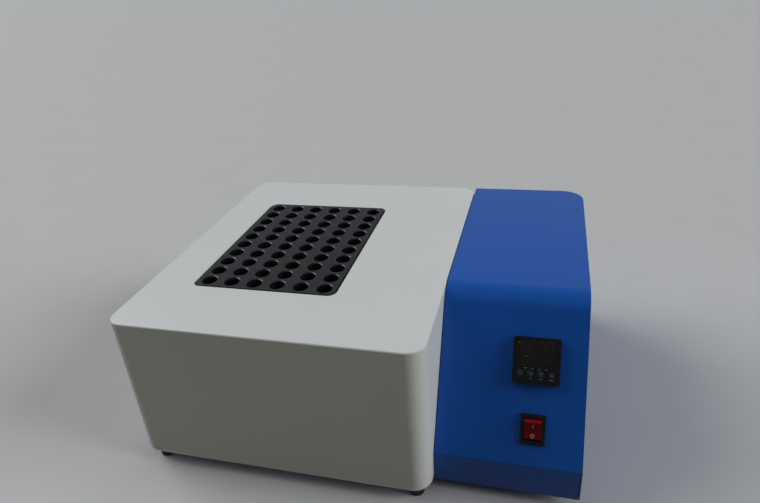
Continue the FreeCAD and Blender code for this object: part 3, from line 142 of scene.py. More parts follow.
class HeaterPanelSizes(PropertyGroup):
    """Sizes of the controller, its keys and the switch."""

    bezel_proud: length("Bezel height", "How far the controller stands out of the panel", 0.0068)
    window_up: length("Window offset", "How far the window is above the controller's middle", 0.008)
    window_width: length("Window width", "Width of the window", 0.040)
    window_height: length("Window height", "Height of the window", 0.027)
    window_thickness: length("Window thickness", "Thickness of the window", 0.0012)
    window_corner: length("Window corner", "Radius of the window's corners", 0.0008)
    window_edge: length("Window edge", "Rounding along the edges of window and display", 0.0002)
    display_inset: length("Display inset", "How far the display stays inside the window's outline", 0.001)
    display_corner: length("Display corner", "Radius of the display's corners", 0.0005)
    display_floor: length("Display floor", "Height of the display's underside over the panel", 0.002)
    display_gap: length("Display gap", "Gap between the display and the window", 0.0005)
    figure_gap: length("Figure gap", "Gap between the figures and the window", 0.0002)
    key_pitch: length("Key pitch", "Distance between keys", 0.0105)
    key_down: length("Key offset", "How far the keys are below the controller's middle", 0.0131)
    key_radius: length("Key radius", "Radius of a key", 0.004)
    key_proud: length("Key height", "How far a key stands out of the controller's face", 0.0005)
    key_edge: length("Key edge", "Rounding round a key's top", 0.0003)
    key_seat: length("Key seat", "Height of a key's underside over the panel", 0.0045)
    key_stem: length("Key stem", "Radius of a key's stem", 0.0025)
    key_stem_end: length("Key stem end", "Height of the stem's end over the panel", 0.00245)
    rocker_width: length("Rocker width", "Width of the rocker", 0.0176)
    rocker_half: length("Rocker half", "Half the length of the rocker's face", 0.0086)
    rocker_shoulder: length("Rocker shoulder", "Half the length of the rocker at its shoulders", 0.011)
    rocker_shoulder_drop: length("Shoulder depth", "How far the shoulders are below the panel", 0.0005)
    rocker_keel: length("Rocker keel", "Half the length of the rocker's underside", 0.004)
    rocker_drop: length("Rocker depth", "How far the underside is below the panel", 0.006)
    rocker_rise: length("Rocker end", "Height of the rocker's ends over the panel", 0.0046)
    rocker_dip: length("Rocker dip", "Height of the rocker's middle over the panel", 0.0032)
    rocker_tilt: angle("Rocker tilt", "How far the rocker leans at rest", 10)
    rocker_edge: length("Rocker edge", "Rounding of the rocker's edges", 0.0005)
    pivot_depth: length("Pivot depth", "How far the rocker's pivot is behind the panel", 0.0025)
    bar_width: length("Bar width", "Width of the bar on the rocker", 0.0004)
    bar_length: length("Bar length", "Length of the bar on the rocker", 0.0037)
    bar_place: share("Bar place", "Place of the bar between the rocker's middle and its end", 0.52)
    ring_inner: length("Ring inside", "Inner radius of the ring on the rocker", 0.00145)
    ring_outer: length("Ring outside", "Outer radius of the ring on the rocker", 0.00188)
    ring_place: share("Ring place", "Place of the ring between the rocker's middle and its end", 0.62)


class HeaterBackSizes(PropertyGroup):
    """Sizes of the mains inlet and of the screws."""

    flange: length("Flange", "Thickness of the inlet's flange", 0.002)
    flange_corner: length("Flange corner", "Radius of the flange's corners", 0.0035)
    flange_edge: length("Flange edge", "Rounding along the flange's edge", 0.0005)
    body_width: length("Body", "Width and height of the inlet behind its flange", 0.032)
    socket_width: length("Socket width", "Width of the socket", 0.0244)
    socket_height: length("Socket height", "Height of the socket", 0.0164)
    socket_depth: length("Socket depth", "Depth of the socket", 0.018)
    socket_up: length("Socket offset", "How far the socket is above the flange's middle", 0.005)
    socket_chamfer: length("Socket corner", "Cut across the socket's two upper corners", 0.004)
    slot_width: length("Slot width", "Width of the drawer's slot", 0.021)
    slot_height: length("Slot height", "Height of the drawer's slot", 0.0072)
    slot_depth: length("Slot depth", "Depth of the drawer's slot", 0.0253)
    slot_down: length("Slot offset", "How far the slot is below the flange's middle", 0.010)
    screw_reach: length("Screw offset", "How far each screw is from the flange's middle", 0.0205)
    screw_hole: length("Screw hole", "Radius of each screw's hole", 0.0016)
    small_head: length("Small head", "Height of a small screw's head", 0.0018)
    flush_head: length("Flush head", "Height of an inlet screw's head", 0.0008)
    large_head: length("Large head", "Height of a foot screw's head", 0.003)
    small_shank: length("Small shank", "Radius of a small screw", 0.0015)
    large_shank: length("Large shank", "Radius of a foot screw", 0.002)


class HeaterColours(PropertyGroup):
    """Colours of the finishes that show most."""

    white: colour("White", "Powder coat of the heater case", (0.69, 0.72, 0.715))
    blue: colour("Blue", "Powder coat of the control case", (0.003, 0.092, 0.445))
    block: colour("Block", "Black anodised aluminium", (0.012, 0.0125, 0.0155))
    rubber: colour("Rubber", "Feet and grommet", (0.012, 0.012, 0.013))
    plastic: colour("Plastic", "Controller, switch frame and inlet", (0.007, 0.007, 0.009))
    red: colour("Red", "Rocker", (0.16, 0.0025, 0.005))
    symbol: colour("Symbols", "Symbols on the keys", (0.02, 0.12, 0.28))
    mark: colour("Marks", "Printed marks", (0.75, 0.70, 0.68))
    floor: colour("Floor", "Floor under the heater", (0.58, 0.59, 0.60))
    floor_bounce: colour("Bounce", "Light that the floor throws back", (0.158, 0.132, 0.076))
    air: colour("Air", "Tint of the surroundings", (0.95, 0.97, 1.0))


class HeaterStage(PropertyGroup):
    """Camera and light."""

    place: spot("Camera", "Where the camera stands", (0.19617, -0.6466, 0.54492))
    heading: angle("Heading", "Turn of the camera to the right", -16.647)
    tilt: angle("Tilt", "How far the camera looks down", 27.459)
    roll: angle("Roll", "Turn of the camera about its own axis", 4.54)
    focal: level("Focal length", "Focal length in picture widths", 0.80017)
    right: level("Right", "Strength of the light from the right", 1.7)
    right_from: spot("Right from", "Direction of the light from the right", (0.90, 0.02, 0.43))
    right_spread: angle("Right spread", "How wide the light from the right is", 32)
    left: level("Left", "Strength of the light from the left", 1.55)
    left_from: spot("Left from", "Direction of the light from the left", (-0.80, 0.18, 0.57))
    left_spread: angle("Left spread", "How wide the light from the left is", 48)
    sky: level("Sky", "Level of the light from above", 0.28)
    sky_from: spot("Sky from", "Direction in which the sky is lightest", (0, 0.25, 0.97))
    skirt: level("Skirt", "Level of the light from low down", 0.02)
    behind: level("Behind", "Level of the background behind the object", 0.40)
    behind_from: spot("Behind from", "Direction in which the background is lightest", (0.45, 0.89, 0))
    before: level("Before", "Level of the background in front of it", 0.13)
    floor_radius: length("Floor radius", "Radius of the floor", 14)
    floor_drop: length("Floor gap", "How far the floor is below the feet", 0.0002)


# Finishes


class Value:
    """One output of a shader node, which takes part in sums as a number does."""

    def __init__(self, nodes, socket):
        self.nodes = nodes
        self.socket = socket

    def work_out(self, operation, first, second):
        return self.nodes.node("ShaderNodeMath", {"operation": operation}, {0: first, 1: second})

    def __add__(self, other):
        return self.work_out("ADD", self, other)

    def __radd__(self, other):
        return self.work_out("ADD", other, self)

    def __sub__(self, other):
        return self.work_out("SUBTRACT", self, other)

    def __rsub__(self, other):
        return self.work_out("SUBTRACT", other, self)

    def __mul__(self, other):
        return self.work_out("MULTIPLY", self, other)

    def __rmul__(self, other):
        return self.work_out("MULTIPLY", other, self)


class Nodes:
    """The shader nodes of a finish or of the surroundings."""

    def __init__(self, tree):
        self.tree = tree

    def node(self, kind, settings=None, inputs=None, output=0):
        """Adds a node: its settings first, then the values or links of its sockets."""
        made = self.tree.nodes.new(kind)
        for key, amount in (settings or {}).items():
            setattr(made, key, amount)
        for key, amount in (inputs or {}).items():
            self.feed(made.inputs[key], amount)
        return Value(self, made.outputs[output])

    def feed(self, socket, amount):
        """Links a value to a socket, or sets the socket."""
        if isinstance(amount, Value):
            self.tree.links.new(amount.socket, socket)
        else:
            socket.default_value = amount

    def between(self, amount, low, high, first=0, last=1):
        """A first level below one limit, a last one above another, and a smooth change between."""
        inputs = {"Value": amount, "From Min": low, "From Max": high, "To Min": first, "To Max": last}
        return self.node("ShaderNodeMapRange", {"interpolation_type": "SMOOTHSTEP"}, inputs)

    def seen(self):
        """Full for what is seen straight, mirrored or through a window, and nothing for scattered light."""
        rays = self.node("ShaderNodeLightPath", output="Is Camera Ray")
        for kind in ("Is Glossy Ray", "Is Transmission Ray"):
            rays = rays + self.node("ShaderNodeLightPath", output=kind)
        return self.between(rays, 0, 1)


class Finish(Nodes):
    """A material in the making, with the shader that its nodes feed."""

    def __init__(self, name, **constants):
        self.material = bpy.data.materials.new(name)
        self.material.use_nodes = True
        super().__init__(self.material.node_tree)
        self.shader = self.tree.nodes["Principled BSDF"]
        self.place = self.node("ShaderNodeTexCoord", output="Object")
        for key, amount in constants.items():
            self.set(key.replace("_", " "), amount)

    def set(self, name, amount):
        self.feed(self.shader.inputs[name], amount)

    def noise(self, scale, detail=2.0, distortion=0.0, stretch=(1, 1, 1)):
        """Noise with a number of features to the metre, which can be stretched along an axis."""
        vector = self.node("ShaderNodeMapping", inputs={"Vector": self.place, "Scale": stretch})
        inputs = {"Vector": vector, "Scale": scale, "Detail": detail, "Distortion": distortion}
        return self.node("ShaderNodeTexNoise", inputs=inputs)

    def low_down(self, reach):
        """Full at the floor, and nothing from a height above it."""
        height = self.node("ShaderNodeSeparateXYZ", inputs={0: self.place}, output="Z")
        return self.between(reach - height, 0, reach)

    def mix(self, factor, first, second):
        """A colour between two."""
        inputs = {0: factor, 6: opaque(first), 7: opaque(second)}
        return self.node("ShaderNodeMix", {"data_type": "RGBA"}, inputs, output=2)

    def relief(self, height, depth):
        """Bumps on the surface, of a depth in metres."""
        inputs = {"Height": height, "Distance": depth, "Strength": 1.0}
        self.set("Normal", self.node("ShaderNodeBump", inputs=inputs, output="Normal"))


def opaque(tint):
    """A colour with full alpha, where it isn't a node's output already."""
    return tint if isinstance(tint, Value) else (*tint, 1)


def toned(tint, times):
    """A colour times a number, which makes it lighter where the number is over one."""
    return tuple(channel * times for channel in tint)


def grained(name, scale, roughness, depth, **constants):
    """A finish with fine bumps, and with patches that are duller than the rest."""
    finish = Finish(name, **constants)
    finish.grain = finish.noise(scale, detail=3)
    finish.patches = finish.noise(scale / 40, detail=4)
    finish.set("Roughness", roughness - 0.06 + 0.12 * finish.patches)
    finish.relief(finish.grain, depth)
    return finish


def speckled(name, tint, shade, scale, roughness, depth, **constants):
    """A grained finish of two tints, as most of the plain ones are."""
    finish = grained(name, scale, roughness, depth, **constants)
    speckle = finish.between(0.5 * finish.grain + 0.5 * finish.patches, 0.35, 0.65)
    finish.set("Base Color", finish.mix(speckle, tint, shade))
    return finish


def powder_coat(name, tint, roughness, shine):
    """Baked paint with a slight orange peel, a few rubbed spots and some dust low down."""
    finish = Finish(name, Specular_IOR_Level=shine)
    peel = finish.noise(650, detail=2)
    clouds = finish.noise(7, detail=5)
    rubbed = finish.between(finish.noise(55, detail=7, distortion=1.2, stretch=(1, 1, 2.4)), 0.66, 0.74)
    dust = finish.low_down(0.05) * finish.between(clouds, 0.35, 0.7)
    paint = finish.mix(clouds, toned(tint, 0.96), tint)
    worn = finish.mix(0.05 * rubbed, paint, (0.35, 0.34, 0.33))
    finish.set("Base Color", finish.mix(0.12 * dust, worn, (0.42, 0.40, 0.37)))
    finish.set("Roughness", roughness + 0.08 * clouds + 0.12 * rubbed)
    finish.relief(peel, 0.00002)
    return finish


def white_paint(tints):
    return powder_coat("white_powder_coat", tints.white, roughness=0.34, shine=0.5)


def blue_paint(tints):
    return powder_coat("blue_powder_coat", tints.blue, roughness=0.30, shine=0.36)


def black_block(tints):
    """Anodised aluminium, with the fine circles of a milling cutter and greyer where tubes rub."""
    finish = Finish("black_anodised", Specular_IOR_Level=0.35)
    grain = finish.noise(2600, detail=3)
    clouds = finish.noise(30, detail=4)
    cutter = finish.node(
        "ShaderNodeTexWave",
        {"wave_type": "RINGS", "rings_direction": "SPHERICAL", "wave_profile": "SIN"},
        {"Vector": finish.place, "Scale": 330, "Distortion": 1.5, "Detail": 2},
        output="Fac",
    )
    rubbed = finish.between(finish.noise(120, detail=6, distortion=0.8), 0.60, 0.72)
    tone = finish.mix(clouds, toned(tints.block, 0.75), toned(tints.block, 1.3))
    finish.set("Base Color", finish.mix(0.2 * rubbed, tone, (0.09, 0.09, 0.095)))
    finish.set("Roughness", 0.36 + 0.14 * clouds + 0.05 * cutter)
    finish.relief(0.6 * cutter + 0.4 * grain, 0.000006)
    return finish


def brushed_metal(name, tint, scale, roughness):
    """Metal with drawn lines along X."""
    finish = Finish(name, Metallic=1.0)
    lines = finish.noise(scale, detail=4, stretch=(0.02, 1, 1))
    spots = finish.noise(60, detail=5)
    finish.set("Base Color", finish.mix(finish.between(spots, 0.4, 0.7), tint, toned(tint, 0.8)))
    finish.set("Roughness", roughness + 0.12 * lines + 0.1 * spots)
    finish.relief(lines, 0.000008)
    return finish


def plated_steel(tints):
    return brushed_metal("zinc_plate", (0.62, 0.63, 0.65), scale=3000, roughness=0.24)


def blackened_steel(tints):
    """The rocker's pin, of which the ends show as dark dots beside the rocker."""
    return brushed_metal("blackened_steel", (0.02, 0.02, 0.022), scale=3000, roughness=0.5)


def heater_steel(tints):
    return brushed_metal("drawn_steel", (0.55, 0.54, 0.52), scale=4000, roughness=0.28)


def sink_aluminium(tints):
    return brushed_metal("extruded_aluminium", (0.70, 0.71, 0.72), scale=1800, roughness=0.34)


def contact_brass(tints):
    return brushed_metal("contact_brass", (0.78, 0.66, 0.36), scale=2500, roughness=0.22)


def black_rubber(tints):
    """Rubber with dust where it meets the floor."""
    finish = grained("black_rubber", scale=1800, roughness=0.68, depth=0.00004)
    dust = finish.low_down(0.006) * finish.patches
    finish.set("Base Color", finish.mix(0.5 * dust, tints.rubber, (0.12, 0.11, 0.10)))
    return finish


def black_plastic(tints):
    shade = toned(tints.plastic, 1.5)
    values = {"scale": 2200, "roughness": 0.42, "depth": 0.000015, "Specular_IOR_Level": 0.2}
    return speckled("black_plastic", tints.plastic, shade, **values)


def smoked_window(tints):
    """A dark clear window, with faint smears."""
    finish = Finish("smoked_window", Transmission_Weight=1.0, IOR=1.45)
    smears = finish.noise(140, detail=5, distortion=1.5)
    finish.set("Base Color", finish.mix(smears, (0.36, 0.34, 0.36), (0.42, 0.40, 0.42)))
    finish.set("Roughness", 0.06 + 0.08 * smears)
    return finish


def display_black(tints):
    tint = (0.006, 0.005, 0.005)
    shade = (0.010, 0.009, 0.009)
    return speckled("display_mask", tint, shade, scale=1500, roughness=0.5, depth=0.00001)


def key_plastic(tints):
    tint = toned(tints.plastic, 0.9)
    shade = toned(tints.plastic, 1.3)
    return speckled("key_film", tint, shade, scale=3000, roughness=0.34, depth=0.000008)


def red_plastic(tints):
    """Clear red plastic: glossy, deeper in the middle and with a cloudy core."""
    finish = Finish("red_rocker", Coat_Roughness=0.08, Specular_IOR_Level=0.06)
    core = finish.noise(160, detail=3)
    rubbed = finish.between(finish.noise(400, detail=6, distortion=1), 0.6, 0.75)
    finish.set("Base Color", finish.mix(core, toned(tints.red, 0.7), toned(tints.red, 1.3)))
    finish.set("Roughness", 0.16 + 0.2 * rubbed)
    finish.set("Coat Weight", 0.05 - 0.03 * rubbed)
    finish.relief(rubbed, 0.000006)
    return finish


def painted_lit_red(tints):
    """The slanting ends of the rocker, painted a lighter red: a painted glow of daylight in the clear plastic."""
    tint = toned(tints.red, 2.3)
    shade = toned(tints.red, 1.7)
    return speckled("painted_lit_red", tint, shade, scale=300, roughness=0.2, depth=0.000004)


def board_green(tints):
    """A circuit board: varnish over copper tracks."""
    finish = grained("circuit_board", scale=900, roughness=0.3, depth=0.00001)
    inputs = {"Vector": finish.place, "Scale": 260, "Mortar Size": 0.04}
    tracks = finish.node("ShaderNodeTexBrick", inputs=inputs, output="Fac")
    finish.set("Base Color", finish.mix(0.6 * tracks, (0.02, 0.16, 0.07), (0.10, 0.34, 0.16)))
    return finish


def insulation_wool(tints):
    """Pressed mineral fibre."""
    finish = grained("mineral_fibre", scale=1200, roughness=0.9, depth=0.0003)
    fibres = finish.noise(900, detail=6, distortion=2.5, stretch=(1, 1, 5))
    finish.set("Base Color", finish.mix(fibres, (0.50, 0.45, 0.36), (0.80, 0.76, 0.66)))
    return finish


def white_ceramic(tints):
    tint = (0.84, 0.83, 0.78)
    shade = (0.70, 0.68, 0.62)
    return speckled("unglazed_ceramic", tint, shade, scale=1400, roughness=0.62, depth=0.00003)


def braided(name, tint, shade):
    """A woven sleeve."""
    finish = Finish(name)
    strands = []
    for slant in (0.8, -0.8):
        turned = {"Vector": finish.place, "Rotation": (0, 0, slant)}
        vector = finish.node("ShaderNodeMapping", inputs=turned)
        inputs = {"Vector": vector, "Scale": 320, "Distortion": 0.6}
        strands.append(finish.node("ShaderNodeTexWave", inputs=inputs, output="Fac"))
    weave = 0.5 * strands[0] + 0.5 * strands[1]
    finish.set("Base Color", finish.mix(weave, shade, tint))
    finish.set("Roughness", 0.7 + 0.2 * weave)
    finish.relief(weave, 0.0002)
    return finish


def lead_sleeve(tints):
    return braided("glass_braid", (0.72, 0.68, 0.56), (0.45, 0.41, 0.32))


def loom_sleeve(tints):
    return braided("black_braid", (0.06, 0.06, 0.06), (0.015, 0.015, 0.015))


def relay_plastic(tints):
    tint = (0.74, 0.73, 0.67)
    shade = (0.66, 0.65, 0.59)
    return speckled("pale_plastic", tint, shade, scale=2000, roughness=0.42, depth=0.00001)


def fuse_glass(tints):
    tint = (0.90, 0.93, 0.93)
    shade = (0.84, 0.88, 0.88)
    values = {"scale": 500, "roughness": 0.06, "depth": 0.000002, "Transmission_Weight": 0.9}
    return speckled("fuse_glass", tint, shade, **values)


def rubbed_edge(tints):
    """The rounded mouths of the wells, where tubes have worn the black to a dark shine."""
    finish = Finish("rubbed_edge", Metallic=1.0)
    worn = finish.noise(300, detail=5)
    tone = toned(tints.block, 6.5)
    finish.set("Base Color", finish.mix(worn, toned(tone, 0.7), toned(tone, 1.4)))
    finish.set("Roughness", 0.18 + 0.10 * worn)
    finish.relief(worn, 0.000004)
    return finish


def well_wall_painted_shade(tints):
    """The inside of a well, duller than the top of the block and darkened with painted shade."""
    tint = toned(tints.block, 0.35)
    shade = toned(tints.block, 0.6)
    return speckled("well_wall_painted_shade", tint, shade, scale=1500, roughness=0.5, depth=0.00001)


def unlit_segment(tints):
    tint = (0.12, 0.075, 0.075)
    shade = (0.15, 0.095, 0.09)
    return speckled("unlit_segment", tint, shade, scale=2500, roughness=0.4, depth=0.000005)


def symbol_print(tints):
    tint = toned(tints.symbol, 0.8)
    shade = tints.symbol
    return speckled("symbol_print", tint, shade, scale=2400, roughness=0.45, depth=0.000004)


def mark_print(tints):
    tint = toned(tints.mark, 0.75)
    shade = tints.mark
    return speckled("mark_print", tint, shade, scale=2400, roughness=0.5, depth=0.000004)


def faint_print(tints):
    tint = toned(tints.mark, 0.18)
    shade = toned(tints.mark, 0.30)
    return speckled("faint_print", tint, shade, scale=2400, roughness=0.5, depth=0.000004)


def floor_finish(tints):
    """A pale sheet, with faint clouding, which throws little of its light back on what stands on it."""
    finish = Finish("pale_floor")
    clouds = finish.noise(10, detail=4)
    cloud = finish.mix(clouds, tints.floor, toned(tints.floor, 0.94))
    finish.set("Base Color", finish.mix(finish.seen(), tints.floor_bounce, cloud))
    finish.set("Roughness", 0.78 + 0.1 * clouds)
    finish.relief(finish.noise(400, detail=3), 0.00003)
    return finish


# The slots of the solids have the same names as these
SLOT_FINISHES = (
    white_paint,
    blue_paint,
    black_block,
    plated_steel,
    heater_steel,
    sink_aluminium,
    black_rubber,
    black_plastic,
    smoked_window,
    display_black,
    key_plastic,
    red_plastic,
    board_green,
    insulation_wool,
    white_ceramic,
    lead_sleeve,
    loom_sleeve,
    contact_brass,
    relay_plastic,
    fuse_glass,
)
EXTRA_FINISHES = (
    painted_lit_red,
    rubbed_edge,
    well_wall_painted_shade,
    blackened_steel,
    unlit_segment,
    symbol_print,
    mark_print,
    faint_print,
    floor_finish,
)


# Shaping


def oblong(x, y, width, height):
    """The corners of a rectangle about a point."""
    return [(x + a * width / 2, y + b * height / 2) for a, b in ((-1, -1), (1, -1), (1, 1), (-1, 1))]


def polygon(x, y, radius, sides):
    """The corners of a regular shape about a point."""
    turns = [2 * math.pi * side / sides for side in range(sides)]
    return [(x + radius * math.cos(turn), y + radius * math.sin(turn)) for turn in turns]


def quarter(middle, radius, start, steps):
    """Points along a quarter circle in the XZ plane, turning clockwise from an angle in degrees."""
    points = []
    for step in range(steps + 1):
        turn = math.radians(start - 90 * step / steps)
        points.append((middle[0] + radius * math.cos(turn), middle[1] + radius * math.sin(turn)))
    return points


def soften(bm, items, radius, steps, affect="EDGES"):
    """Rounds edges or corners."""
    return bmesh.ops.bevel(
        bm, geom=items, offset=radius, segments=steps, profile=0.5, affect=affect, material=-1
    )


def added(bm, before):
    """The points that have come since a set of them was taken."""
    return [vert for vert in bm.verts if vert not in before]


def at_level(items, height):
    """Those edges or faces that lie at a height."""
    return [item for item in items if all(abs(vert.co.z - height) < MERGE for vert in item.verts)]


def closed_line(bm, points, height):
    """A closed loop of edges at a height."""
    verts = [bm.verts.new((x, y, height)) for x, y in points]
    return [bm.edges.new(pair) for pair in zip(verts, verts[1:] + verts[:1])]


def raise_loop(bm, edges, rise):
    """Walls from a loop of edges, straight up or down. Gives the far loop."""
    grown = bmesh.ops.extrude_edge_only(bm, edges=edges)["geom"]
    verts = [item for item in grown if isinstance(item, bmesh.types.BMVert)]
    height = verts[0].co.z + rise
    bmesh.ops.translate(bm, verts=verts, vec=(0, 0, rise))
    return at_level([item for item in grown if isinstance(item, bmesh.types.BMEdge)], height)


def lay_between(bm, edges):
    """A level face with holes, from the lines round it and round its holes."""
    bmesh.ops.triangle_fill(bm, edges=edges, use_beauty=True, normal=UP)


def rounded_face(bm, low, high, height, corner, steps):
    """A level face with round corners, between two opposite corners."""
    spots = ((low[0], low[1]), (high[0], low[1]), (high[0], high[1]), (low[0], high[1]))
    corners = [bm.verts.new((x, y, height)) for x, y in spots]
    bm.faces.new(corners)
    return soften(bm, corners, corner, steps, "VERTICES")["verts"][0].link_faces[0]


def rounded_prism(bm, low, high, corner, edge):
    """A block with round upright corners and a rounded upper edge, each given as a radius and its steps."""
    floor = rounded_face(bm, low, high, low[2], *corner)
    rim = raise_loop(bm, list(floor.edges), high[2] - low[2])
    bmesh.ops.edgeloop_fill(bm, edges=rim)
    soften(bm, rim, *edge)


def open_face(bm, height):
    """Takes away the face at a height, and gives the edges that were round it."""
    face = max(at_level(bm.faces, height), key=lambda item: item.calc_area())
    edges = list(face.edges)
    bmesh.ops.delete(bm, geom=[face], context="FACES_ONLY")
    return edges


def revolve(bm, profile, steps):
    """Spins a line of points in the XZ plane round Z. Gives the points that it made."""
    before = set(bm.verts)
    verts = [bm.verts.new((x, 0, z)) for x, z in profile]
    edges = [bm.edges.new(pair) for pair in zip(verts, verts[1:])]
    bmesh.ops.spin(
        bm, geom=verts + edges, cent=(0, 0, 0), axis=UP, angle=2 * math.pi, steps=steps, use_merge=True
    )
    return added(bm, before)


def plate(bm, points, low, high):
    """A flat piece with a straight sided outline, between two heights."""
    face = bm.faces.new([bm.verts.new((x, y, low)) for x, y in points])
    rim = raise_loop(bm, list(face.edges), high - low)
    bmesh.ops.edgeloop_fill(bm, edges=rim)


def flat_ring(bm, inner, outer, low, high):
    """A flat ring between two heights."""
    revolve(bm, [(inner, low), (outer, low), (outer, high), (inner, high), (inner, low)], RING_TURNS)


def segment(middle, reach, thick, upright):
    """The outline of one bar of a figure, pointed at both ends."""
    half = [(-reach, 0), (thick - reach, -thick), (reach - thick, -thick)]
    ends = half + [(-along, -beside) for along, beside in half]
    if upright:
        ends = [(-beside, along) for along, beside in ends]
    return [(middle[0] + x, middle[1] + y) for x, y in ends]


def figure(bm, middle, size, low, high):
    """A seven segment figure, which leans to the right."""
    half_width = 0.27 * size
    half_height = 0.46 * size
    thick = 0.055 * size
    gap = 0.02 * size
    lean = 0.12
    bars = [((0, row * half_height), half_width, False) for row in (-1, 0, 1)]
    for side in (-1, 1):
        for row in (-0.5, 0.5):
            bars.append(((side * half_width, row * half_height), half_height / 2, True))
    for place, reach, upright in bars:
        points = segment(place, reach - gap, thick, upright)
        plate(bm, [(middle[0] + x + lean * y, middle[1] + y) for x, y in points], low, high)


def merged_copy(node):
    """A solid's mesh, with its loose triangles joined."""
    bm = bmesh.new()
    bm.from_mesh(frame["nodes"][node].data)
    bmesh.ops.remove_doubles(bm, verts=bm.verts, dist=MERGE)
    return bm


def lumps(node):
    """The lowest and highest corners of each separate solid in a node."""
    bm = merged_copy(node)
    left = set(bm.verts)
    boxes = []
    while left:
        joined = [left.pop()]
        for vert in joined:
            near = {edge.other_vert(vert) for edge in vert.link_edges} & left
            left -= near
            joined += near
        low = [min(vert.co[axis] for vert in joined) for axis in range(3)]
        high = [max(vert.co[axis] for vert in joined) for axis in range(3)]
        boxes.append((Vector(low), Vector(high)))
    bm.free()
    return boxes


def shade(bm, limit):
    """Smooth shading, with every edge sharper than a limit in degrees kept crisp."""
    for face in bm.faces:
        face.smooth = True
    for edge in bm.edges:
        edge.smooth = len(edge.link_faces) == 2 and edge.calc_face_angle(0) < math.radians(limit)


def finish_piece(
    name, bm, finish, body="heater", stands_for=(), place=None, limit=38, closed=True
):
    """Turns a mesh, moved to its place where one is given, into a piece that rides on a body."""
    if place is not None:
        bmesh.ops.transform(bm, matrix=place, verts=bm.verts)
    bmesh.ops.remove_doubles(bm, verts=bm.verts, dist=MERGE)
    if closed:
        bmesh.ops.recalc_face_normals(bm, faces=bm.faces)
    shade(bm, limit)
    mesh = bpy.data.meshes.new(name)
    bm.to_mesh(mesh)
    bm.free()
    coats = (finish,) if isinstance(finish, str) else finish
    for coat in coats:
        mesh.materials.append(finishes[coat])
    piece = bpy.data.objects.new(name, mesh)
    bpy.context.scene.collection.objects.link(piece)
    normals = piece.modifiers.new("Normals", "WEIGHTED_NORMAL")
    normals.keep_sharp = True
    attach(piece, body)
    if stands_for:
        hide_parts(*stands_for)
    return piece


def refined_node(name, node, finish, body="heater", edge=0.0):
    """A smooth copy of a solid, with its sharp edges slightly rounded."""
    flat_limit = math.radians(0.5)
    sharp_limit = math.radians(50)
    bm = merged_copy(node)
    bmesh.ops.dissolve_limit(bm, angle_limit=flat_limit, verts=bm.verts, edges=bm.edges)
    piece = finish_piece(name, bm, finish, body, stands_for=[node], limit=30, closed=False)
    if edge:
        rounding = piece.modifiers.new("Edges", "BEVEL")
        rounding.width = edge
        rounding.segments = 2
        rounding.limit_method = "ANGLE"
        rounding.angle_limit = sharp_limit
        piece.modifiers.move(1, 0)


# Places


def joint(name):
    return next(row for row in frame["joints"] if row["name"] == name)


def facing_frame(origin, outward):
    """From a drawing with Z outwards to a place that faces a direction, with Y up where that can be."""
    turn = Vector(outward).to_track_quat("Z", "Y")
    return Matrix.Translation(origin) @ turn.to_matrix().to_4x4()


def panel_frame(origin):
    """From a drawing flat on the sloping panel, with Y up the slope and Z outwards, to its place."""
    outward = -Vector(joint("set_key_press")["axis"]).normalized()
    across = Vector((1, 0, 0))
    turn = Matrix((across, outward.cross(across), outward)).transposed()
    return Matrix.Translation(origin) @ turn.to_4x4()


def controller_frame(sizes):
    """The panel under the middle of the controller."""
    low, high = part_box("controller_window")
    sunk = sizes.window_thickness / 2 - sizes.bezel_proud
    return panel_frame((low + high) / 2) @ Matrix.Translation((0, -sizes.window_up, sunk))


def pivot_frame(sizes):
    """The rocker's pivot, leaning as the rocker does at rest."""
    return panel_frame(joint("rocker_tilt")["pos_m"]) @ Matrix.Rotation(sizes.rocker_tilt, 4, "X")


# Pieces


class HEATER_OT_finishes(Operator):
    """Make every finish, and give each solid the one of its slot"""

    bl_idname = "heater.finishes"
    bl_label = "Finishes"

    def execute(self, context):
        tints = context.scene.heater_colours
        for maker in SLOT_FINISHES + EXTRA_FINISHES:
            finishes[maker.__name__] = maker(tints).material
        for node in frame["nodes"].values():
            for holder in node.material_slots:
                holder.material = finishes[holder.material.name.split(".")[0]]
        return {"FINISHED"}


class HEATER_OT_case(Operator):
    """Shape the white case with its rounded corners, top edge and opening"""

    bl_idname = "heater.case"
    bl_label = "White case"

    def execute(self, context):
        sizes = context.scene.heater_case
        low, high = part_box("heater_housing")
        bm = bmesh.new()
        rounded_prism(bm, low, high, (sizes.case_corner, 12), (sizes.case_edge, 5))
        top_edges = open_face(bm, high.z)
        open_face(bm, low.z)
        loops = self.opening(bm, high.z, sizes)
        lay_between(bm, top_edges + loops[0])
        for upper, lower in zip(loops, loops[1:]):
            bmesh.ops.bridge_loops(bm, edges=upper + lower)
        bmesh.ops.remove_doubles(bm, verts=bm.verts, dist=MERGE)
        bmesh.ops.recalc_face_normals(bm, faces=bm.faces)
        bmesh.ops.solidify(bm, geom=bm.faces, thickness=sizes.sheet)
        finish_piece("white_case", bm, "white_paint", stands_for=["heater_housing"], closed=False)
        return {"FINISHED"}

    def opening(self, bm, top, sizes):
        """Lines round the block's opening, over its rounded edge and down its lip."""
        low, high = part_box("heating_block")
        edge = sizes.cutout_edge
        # How far each line lies outside the lip, and how far below the top
        lines = ((edge, 0), (0.3 * edge, 0.3 * edge), (0, edge), (0, 2 * sizes.sheet))
        loops = []
        for out, drop in lines:
            reach = sizes.cutout_gap + out
            grow = Vector((reach, reach, 0))
            face = rounded_face(bm, low - grow, high + grow, top - drop, sizes.cutout_corner + out, 8)
            loops.append(list(face.edges))
            bmesh.ops.delete(bm, geom=[face], context="FACES_ONLY")
        return loops


